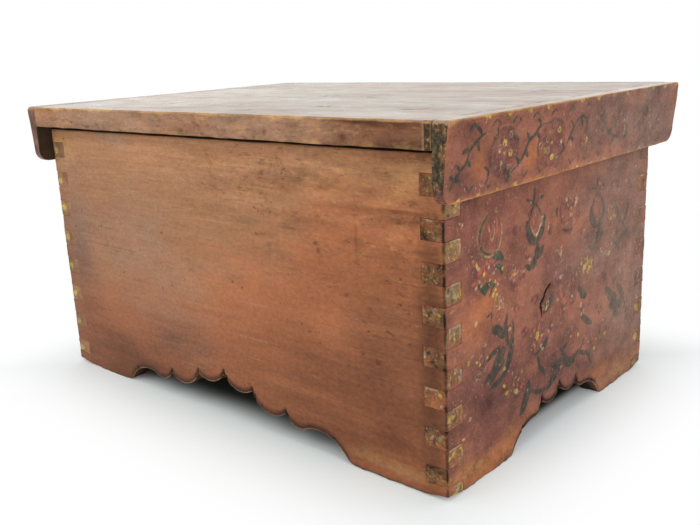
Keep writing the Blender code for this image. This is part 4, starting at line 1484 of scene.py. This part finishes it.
class BOX_OT_bottom_board(bpy.types.Operator):
    """Draw the raw bottom board"""

    bl_idname = "painted_box.bottom_board"
    bl_label = "Bottom Board"

    def execute(self, context):
        sizes = context.scene.box_sizes
        (x0, y0, z0), (x1, y1, z1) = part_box("bottom_board")
        columns, rows = (self.places(sizes, *ends) for ends in ((x0, x1), (y0, y1)))
        depths = spread([z0, z1], sizes.bottom_step, sizes.edge_step)
        x = np.abs((columns[1:] + columns[:-1]) / 2)[:, None]
        y = np.abs((rows[1:] + rows[:-1]) / 2 - (y0 + y1) / 2)[None]
        body_x, body_y = x1 - TONGUE, (y1 - y0) / 2 - TONGUE
        stop_x, stop_y = body_x - TONGUE_STOP, body_y - TONGUE_STOP
        keep = ((x < body_x) & (y < body_y)) | (y < stop_y) | (x < stop_x)
        keep &= ~((x > body_x) & (y > stop_y)) & ~((y > body_y) & (x > stop_x))
        slab = Slab(columns, rows, depths, keep)
        faces = outward(slab.spots, slab.faces)
        weight = np.full(len(slab.spots), sizes.joint_wear)
        worn, _ = wear_piece(slab.spots, faces, 61, weight, sizes.dent_depth)
        layers = blank_layers(len(worn))
        wood = inner_finish("inner_wood_bottom", 0)
        finishes = (wood, wood, wood)
        add_mesh_piece(
            "raw_bottom_board",
            worn,
            faces,
            slab.zones,
            layers,
            finishes,
            "case",
            "inner_wood",
            "bottom_board",
        )
        return {"FINISHED"}

    def places(self, sizes, start, end):
        """Places along one side, with marks at the roots and stops of the tongues."""
        low, high = start + TONGUE, end - TONGUE
        marks = [start, low, low + TONGUE_STOP, high - TONGUE_STOP, high, end]
        return spread(marks, sizes.bottom_step, sizes.edge_step)


# Dark scuffs on the lid's top, in millimetres across and back from its middle, and their width
LID_SCUFFS = (
    (8, 3, 2.6), (-5, 12, 2.4), (-49, 15, 2.8), (-36, -6, 2.4), (-69, 92, 3.6), (-154, -45, 3.0),
    (-144, 63, 2.6), (-150, 96, 2.2), (93, 90, 2.6), (13, 94, 2.2), (120, -60, 2.8), (60, -110, 2.4),
    (-95, -95, 2.6),
)
# Stains on the lid's back edge, in millimetres along it and up from its lower edge, as soft patches
LID_EDGE_MARKS = (
    (40, 6, 3.5, 5, -0.6), (-21, 9, 5, 3, -0.45), (-76, 6, 1.6, 2, -1.0), (-140, 5, 3, 2.5, -0.6),
    (-166, 13, 6, 1.2, -0.9), (-180, 12.5, 5, 1.5, -0.8), (-150, 13.5, 5, 1.0, -0.6), (5, 12, 8, 2, -0.3),
    (-45, 8, 8, 4, -0.3), (-100, 11, 6, 2, -0.35), (110, 4, 14, 3, -0.25), (28, 4, 6, 2, 0.3),
    (60, 10, 20, 3, 0.2), (175, 8, 8, 6, -0.3),
)
# Soft patches of the lid's top and of its edge all round, in millimetres from its middle
LID_GROUND = (
    (-170, 30, 70, 160, 0.16), (0, 150, 260, 22, 0.1), (195, 0, 30, 160, 0.1), (60, -120, 90, 40, 0.08),
)
# The last row lightens the top towards its +X end as a painted sheen.
LID_TONES = ((-120, 60, 120, 90, 0.1), (100, -60, 140, 80, 0.2), (170, 90, 110, 110, 0.8))
LID_SHEEN = ((150, 60, 120, 120, 1.0),)
LID_EDGE_TONES = (
    (-185, 152, 80, 40, -1.1), (10, 152, 60, 40, -0.15), (95, 152, 12, 40, -0.35), (75, 152, 40, 40, 0.35),
    (190, 152, 30, 40, -0.45),
)
# Where the lid's rough sawn end begins, in millimetres from its middle
LID_ROUGH_END = -196.5


class BOX_OT_lid_board(bpy.types.Operator):
    """Draw the lid board with its rubbed edges and scuffed top"""

    bl_idname = "painted_box.lid_board"
    bl_label = "Lid Board"

    def execute(self, context):
        sizes = context.scene.box_sizes
        (x0, y0, z0), (x1, y1, z1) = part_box("lid_board")
        columns = spread([x0, x1], sizes.lid_step, sizes.edge_step)
        rows = spread([y0, y1], sizes.lid_step, sizes.edge_step)
        slab = whole_slab(columns, rows, spread([z0, z1], THROUGH_STEP, sizes.edge_step)[::-1])
        points = slab.spots
        faces = outward(points, slab.faces)
        layers = blank_layers(len(points))
        self.scuff(layers, points, z1)
        self.shade(layers, points, z0, z1)
        weight = np.full(len(points), 1.15 * sizes.edge_wear)
        worn, near_edge = wear_piece(points, faces, 73, weight, sizes.dent_depth)
        layers["worn"] = rubbed_edges(points, near_edge, 0.0045, 0.65, 0.02, 78)
        finishes = (
            lid_finish("rubbed_lid_wood", 0),
            inner_finish("inner_wood_lid", 0, 0.8),
            bare_finish("lid_edge_wood", 0),
            end_grain_finish("end_grain_lid", 2),
        )
        rough = (points[faces].mean(axis=1)[:, 0] < x0 + 0.004) & (face_normals(points, faces)[:, 1] > 0.2)
        zones = np.where((slab.zones == 2) & rough, 3, slab.zones)
        add_mesh_piece(
            "rubbed_lid_board", worn, faces, zones, layers, finishes, "lid", "lid_wood", "lid_board"
        )
        return {"FINISHED"}

    def scuff(self, layers, points, z1):
        """Dark scuffs and specks on the top."""
        paint = Painting(layers, points[:, 0] * TO_MM, points[:, 1] * TO_MM, points[:, 2] > z1 - 0.002)
        draw = np.random.default_rng(71)
        for x, y, wide in LID_SCUFFS:
            for _ in range(3):
                start = np.array((x, y)) + draw.uniform(-6, 6, 2)
                end = start + draw.uniform((-12, -4), (12, 4))
                bend = (start + end) / 2 + draw.uniform(-1, 1, 2)
                paint.stroke("leaf", [start, bend, end], wide, 0.3, draw.uniform(0, 0.4))
        for _ in range(60):
            spot = draw.uniform((-195, -146), (195, 146))
            size = draw.uniform((2.0, 1.2), (9.0, 3.0))
            turn = draw.uniform(-0.4, 0.4)
            paint.spot("leaf", spot, *size, turn, draw.uniform(0.2, 0.7))

    def shade(self, layers, points, z0, z1):
        """Stains of the top and of the edge all round, a painted sheen on the top, and the edge's rubbed
        corners.
        """
        across, back, height = points[:, 0] * TO_MM, points[:, 1] * TO_MM, (points[:, 2] - z0) * TO_MM
        edge = points[:, 2] < z1 - 0.0003
        rear = edge & (back > 0)
        below_top = z1 - points[:, 2]
        layers["ground"] = soft_patch(across, back, LID_GROUND)
        tone = np.where(
            edge, 0.42 + soft_patch(across, back, LID_EDGE_TONES), soft_patch(across, back, LID_TONES)
        )
        tone += np.where(rear, soft_patch(across, height, LID_EDGE_MARKS), 0.0)
        tone -= np.where(edge, 0.35 * np.exp(-((height / 2.2) ** 2)), 0.0)
        scuff = np.exp(-(((across + 158) / 24) ** 2) - ((below_top - 0.0017) / 0.0010) ** 2)
        tone -= np.where(rear, 1.3 * scuff, 0.0)
        layers["tone"] = np.where(edge & (across < LID_ROUGH_END), -0.15, tone)
        layers["rough"] = np.where(edge & (across > LID_ROUGH_END), 0.85, 0.0)
        gold = 1.2 * np.exp(-((below_top / 0.0010) ** 2)) + 0.4 * np.exp(-(((across + 200) / 7) ** 2))
        layers["gold"] = np.where(edge, gold, 0.0)
        edge_grey = 0.45 + 0.25 * np.exp(-(((across - 75) / 50) ** 2))
        layers["grey"] = np.where(edge, edge_grey, soft_patch(across, back, LID_SHEEN))


# A cleat's rounded ends at the foot and the top, its thickness at the foot, and the mesh's steps through it
CLEAT_FOOT_ROUND = 0.0085
CLEAT_TOP_ROUND = 0.003
CLEAT_FOOT_THICK = 0.0066
CLEAT_THICK = 0.011
CLEAT_THROUGH_STEP = 0.0009
# Soft patches of a cleat, in millimetres from its back end and its foot
CLEAT_PATCHES = {
    "ground": (
        (32, 20, 13, 16, -0.34), (90, 15, 12, 12, -0.38), (148, 24, 12, 14, -0.2), (188, 30, 12, 12, -0.2),
    ),
    "tone": ((150, 1, 260, 3, 0.2), (60, 40, 80, 8, -0.2), (270, 28, 60, 30, -0.16)),
    "gold": (
        (3, 46, 7, 5, 1.1), (75, 45.2, 90, 1.5, 1.2), (200, 45.4, 90, 0.9, 0.5), (110, 0.1, 140, 0.6, 0.7),
    ),
    "grey": ((250, 20, 130, 60, 0.8),),
}


class BOX_OT_cleats(bpy.types.Operator):
    """Draw the two painted cleats on the lid's ends"""

    bl_idname = "painted_box.cleats"
    bl_label = "Cleats"

    def execute(self, context):
        sizes = context.scene.box_sizes
        for node, side, seed in (("left_cleat", -1.0, 81), ("right_cleat", 1.0, 91)):
            low, high = (np.array(corner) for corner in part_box(node))
            half = high[1]
            slab, points, deep = self.shape(sizes, low, high, side)
            faces = outward(points, slab.faces)
            layers = blank_layers(len(points))
            back, rising = (half - points[:, 1]) * TO_MM, (points[:, 2] - low[2]) * TO_MM
            paint = Painting(layers, back, rising, deep < 0.35)
            if side > 0:
                paint.move((4, 0), 1.0)
            cleat_band(paint)
            self.shade(layers, back, rising, side)
            weight = np.full(len(points), sizes.edge_wear)
            worn, near_edge = wear_piece(points, faces, seed, weight, 0.7 * sizes.dent_depth)
            self.swell(sizes, node, side, points, deep, worn, layers)
            layers["worn"] = rubbed_edges(points, near_edge, 0.0017, 0.6, 0.015, seed + 5)
            outer = painted_finish(f"painted_{node}", 1)
            # The cleats' inner faces are darkened nearly black as painted shade between cleat and box end.
            inner = inner_finish(f"inner_wood_{node}", 1, 0.15)
            cut = end_grain_finish(f"end_grain_{node}", 2)
            rubbed_top = lid_finish(f"rubbed_top_{node}", 1)
            facing = face_normals(points, faces)
            zones = np.where((slab.zones == 2) & (side * facing[:, 1] < -0.5), 3, slab.zones)
            zones = np.where((slab.zones == 2) & (facing[:, 2] > 0.6), 4, zones)
            finishes = (outer, inner, outer, cut, rubbed_top)
            add_mesh_piece(
                f"painted_{node}", worn, faces, zones, layers, finishes, "lid", "painted_wood", node
            )
        return {"FINISHED"}

    def shape(self, sizes, low, high, side):
        """The closed block, round at its ends and thinner at its foot, with each point's depth in it."""
        half = high[1]
        foot, top = CLEAT_FOOT_ROUND, CLEAT_TOP_ROUND
        inner_x, outer_x = (high[0], low[0]) if side < 0 else (low[0], high[0])
        columns = spread([-half, -half + foot, half - foot, half], sizes.cleat_step, sizes.edge_step)
        rows = spread([low[2], high[2]], sizes.cleat_step, sizes.edge_step)
        depths = spread([0.0, CLEAT_THICK], CLEAT_THROUGH_STEP, sizes.edge_step) / CLEAT_THICK
        slab = whole_slab(columns, rows, depths)
        along, height, deep = slab.spots.T
        over = np.clip(np.abs(along) - (half - foot), 0, foot)
        bottom = low[2] + foot - np.sqrt(np.maximum(foot**2 - over**2, 0))
        over = np.clip(np.abs(along) - (half - top), 0, top)
        upper = high[2] - top + np.sqrt(np.maximum(top**2 - over**2, 0))
        up = bottom + (height - low[2]) / (high[2] - low[2]) * (upper - bottom)
        rise = (up - low[2]) / (high[2] - low[2])
        thick = CLEAT_FOOT_THICK + (abs(outer_x - inner_x) - CLEAT_FOOT_THICK) * rise
        points = np.stack([inner_x + side * thick * (1 - deep), along, up], axis=1)
        return slab, points, deep

    def shade(self, layers, back, rising, side):
        """Where the ground is thin, dirty, dusty or rubbed golden."""
        for layer, patches in CLEAT_PATCHES.items():
            layers[layer] = soft_patch(back, rising, patches)
        layers["ground"] = 0.78 + layers["ground"] - 0.3 * np.exp(-rising / 1.6)
        layers["ground"][rising > 44.9] = 0.05
        layers["rough"] = np.clip(1 - rising / 17, 0, 1)
        if side > 0:
            layers["tone"] += soft_patch(back, rising, ((0, 24, 2.5, 60, -0.6),))
            layers["grey"] += soft_patch(back, rising, ((0, 24, 3.0, 60, 0.9),))

    def swell(self, sizes, node, side, points, deep, worn, layers):
        """The paint that bridges the ends of the pegs and the pin, with a fine crack round each."""
        names = [f"{node}_peg_{number}" for number in range(1, 5)] + [node.replace("cleat", "hinge_pin")]
        outer_side = np.exp(-((deep / 0.3) ** 2))
        for name in names:
            start, end = (np.array(corner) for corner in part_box(name))
            centre, size = (start + end) / 2, (end - start)[2]
            away = np.hypot(points[:, 1] - centre[1], points[:, 2] - centre[2]) / (0.5 * size)
            worn[:, 0] += side * sizes.peg_swell * outer_side * np.clip(1.9 - away, 0, 1)
            crack = np.where(deep < 0.02, 0.18 - np.abs(away - 1.25) * 0.5 * size * TO_MM, FAR_OUTSIDE)
            layers["split"] = np.maximum(layers["split"], crack - 0.55)


class BOX_OT_pegs(bpy.types.Operator):
    """Give the pegs and hinge pins their whittled wood"""

    bl_idname = "painted_box.pegs"
    bl_label = "Pegs and Pins"

    def execute(self, context):
        wood = peg_finish("whittled_peg_wood")
        for name, node in frame["nodes"].items():
            if "peg" in name or "pin" in name:
                node.data.materials.clear()
                node.data.materials.append(wood)
        return {"FINISHED"}


# Lamps: name, setting of the power, place, width, whether it shows in mirror reflections
LAMPS = (
    ("soft_key", "key_power", (0.25, 1.6, 1.15), 1.5, True),
    ("side_fill", "fill_power", (-1.75, 0.55, 0.95), 1.3, False),
    ("overhead", "overhead_power", (0.0, 0.1, 2.5), 2.0, True),
)
LAMP_TARGET = Vector((0, 0, 0.1))
SKY_TINT = (0.96, 0.985, 1.0)
FLOOR_REACH = 7.0
FLOOR_RINGS = 24
FLOOR_SIDES = 64
# The floor's places, in metres past these half sizes in X and Y: where it fades to white beside the box,
# and where the painted shadow under the box ends
FLOOR_EDGE = (0.184, 0.14)
FLOOR_FADE = (-0.025, 0.10)
FLOOR_SHADE = ((-0.008, 0.002), (-0.035, -0.005))
# Painted shadow: the floor's share of its own colour under the box.
UNDER_BOX_SHADOW = 0.06


def seen(tree):
    """1 where the eye sees the surround, straight, mirrored or through glass."""
    path = tree.nodes.new("ShaderNodeLightPath")
    total = path.outputs["Is Camera Ray"]
    for ray in ("Is Glossy Ray", "Is Transmission Ray"):
        node = tree.nodes.new("ShaderNodeMath")
        node.operation = "MAXIMUM"
        tree.links.new(total, node.inputs[0])
        tree.links.new(path.outputs[ray], node.inputs[1])
        total = node.outputs[0]
    return total


def show_white(tree, output, amount, plain, white):
    """Ends the tree in a mix of its plain shader and a white one, by an amount."""
    mixer = tree.nodes.new("ShaderNodeMixShader")
    for socket, source in zip(mixer.inputs, (amount, plain.outputs[0], white.outputs[0])):
        tree.links.new(source, socket)
    tree.links.new(mixer.outputs[0], tree.nodes[output].inputs["Surface"])


class BOX_OT_stage(bpy.types.Operator):
    """Set the pale floor, the soft light and the camera"""

    bl_idname = "painted_box.stage"
    bl_label = "Stage"

    def execute(self, context):
        stage = context.scene.box_stage
        context.scene.view_settings.view_transform = "Standard"
        self.camera(context, stage)
        for name, power, place, wide, mirrored in LAMPS:
            lamp = bpy.data.lights.new(name, "AREA")
            lamp.shape = "SQUARE"
            lamp.size = wide
            lamp.energy = getattr(stage, power)
            light = bpy.data.objects.new(name, lamp)
            light.location = place
            light.rotation_euler = (LAMP_TARGET - light.location).to_track_quat("-Z", "Y").to_euler()
            light.visible_glossy = mirrored
            context.scene.collection.objects.link(light)
        self.surround(context, stage)
        self.floor(context, stage)
        return {"FINISHED"}

    def camera(self, context, stage):
        camera = bpy.data.cameras.new("photo_camera")
        camera.sensor_fit = "HORIZONTAL"
        camera.sensor_width = 36.0
        camera.lens = stage.lens
        viewer = bpy.data.objects.new("photo_camera", camera)
        turn = Matrix.Rotation(stage.camera_turn, 4, "Z")
        tilt = Matrix.Rotation(stage.camera_tilt, 4, "X")
        roll = Matrix.Rotation(stage.camera_roll, 4, "Z")
        viewer.matrix_world = Matrix.Translation(stage.camera_place) @ turn @ tilt @ roll
        context.scene.collection.objects.link(viewer)
        context.scene.camera = viewer

    def surround(self, context, stage):
        world = bpy.data.worlds.new("white_surround")
        world.use_nodes = True
        tree = world.node_tree
        soft = tree.nodes["Background"]
        soft.inputs["Color"].default_value = (*SKY_TINT, 1.0)
        soft.inputs["Strength"].default_value = stage.sky
        white = tree.nodes.new("ShaderNodeBackground")
        white.inputs["Color"].default_value = (1.0, 1.0, 1.0, 1.0)
        show_white(tree, "World Output", seen(tree), soft, white)
        context.scene.world = world

    def floor(self, context, stage):
        """A wide pale floor that fades into the white surround, with a painted shadow under the box."""
        points, faces = [(0.0, 0.0, 0.0)], []
        for ring in range(1, FLOOR_RINGS + 1):
            radius = FLOOR_REACH * (ring / FLOOR_RINGS) ** 2
            for side in range(FLOOR_SIDES):
                angle = 2 * pi * side / FLOOR_SIDES
                points.append((radius * cos(angle), radius * sin(angle), 0.0))
        for side in range(FLOOR_SIDES):
            after = (side + 1) % FLOOR_SIDES
            faces.append((0, 1 + side, 1 + after))
            for ring in range(FLOOR_RINGS - 1):
                here = 1 + ring * FLOOR_SIDES
                faces.append(
                    (here + side, here + FLOOR_SIDES + side, here + FLOOR_SIDES + after, here + after)
                )
        mesh = bpy.data.meshes.new("pale_floor")
        mesh.from_pydata(points, [], faces)
        floor = bpy.data.objects.new("pale_floor", mesh)
        context.scene.collection.objects.link(floor)
        mesh.materials.append(self.floor_finish(stage))

    def floor_finish(self, stage):
        finish = Finish("pale_floor", 0)
        place = finish.tree.nodes.new("ShaderNodeSeparateXYZ")
        finish.feed(place.inputs[0], finish.spot)
        beside = []
        for axis, edge in enumerate(FLOOR_EDGE):
            beside.append(finish.math("SUBTRACT", finish.math("ABSOLUTE", place.outputs[axis]), edge))
        fade = finish.ease(finish.math("MAXIMUM", *beside), *FLOOR_FADE)
        lit = finish.math("MAXIMUM", *(finish.ease(gap, *reach) for gap, reach in zip(beside, FLOOR_SHADE)))
        # Painted shadow: the floor darkened under the box.
        dark = [UNDER_BOX_SHADOW * part for part in stage.floor_colour]
        finish.surface(finish.mix(lit, dark, stage.floor_colour), 0.6, 0.2)
        white = finish.tree.nodes.new("ShaderNodeEmission")
        white.inputs["Strength"].default_value = 1.0
        amount = finish.math("MULTIPLY", finish.math("MULTIPLY", fade, lit), seen(finish.tree))
        show_white(finish.tree, "Material Output", amount, finish.shader, white)
        return finish.material


class BOX_PT_panel(bpy.types.Panel):
    """The box's pieces, sizes and colours"""

    bl_idname = "BOX_PT_panel"
    bl_label = "Painted Wooden Box"
    bl_space_type = "VIEW_3D"
    bl_region_type = "UI"
    bl_category = "Painted Box"

    def draw(self, context):
        layout = self.layout
        for maker in MAKERS:
            layout.operator(maker.bl_idname)
        for group in ("box_sizes", "box_colours", "box_stage"):
            settings = getattr(context.scene, group)
            part = layout.box()
            for name in settings.__annotations__:
                part.prop(settings, name)


MAKERS = (
    BOX_OT_back_board,
    BOX_OT_front_board,
    BOX_OT_end_boards,
    BOX_OT_bottom_board,
    BOX_OT_lid_board,
    BOX_OT_cleats,
    BOX_OT_pegs,
    BOX_OT_stage,
)
CLASSES = (BoxSizes, BoxColours, BoxStage, *MAKERS, BOX_PT_panel)


def register():
    for item in CLASSES:
        bpy.utils.register_class(item)
    bpy.types.Scene.box_sizes = PointerProperty(type=BoxSizes)
    bpy.types.Scene.box_colours = PointerProperty(type=BoxColours)
    bpy.types.Scene.box_stage = PointerProperty(type=BoxStage)


def unregister():
    del bpy.types.Scene.box_stage
    del bpy.types.Scene.box_colours
    del bpy.types.Scene.box_sizes
    for item in reversed(CLASSES):
        bpy.utils.unregister_class(item)


def main():
    register()
    bpy.ops.painted_box.back_board()
    bpy.ops.painted_box.front_board()
    bpy.ops.painted_box.end_boards()
    bpy.ops.painted_box.bottom_board()
    bpy.ops.painted_box.lid_board()
    bpy.ops.painted_box.cleats()
    bpy.ops.painted_box.pegs()
    bpy.ops.painted_box.stage()
    bpy.context.view_layer.update()


if __name__ == "__main__":
    main()
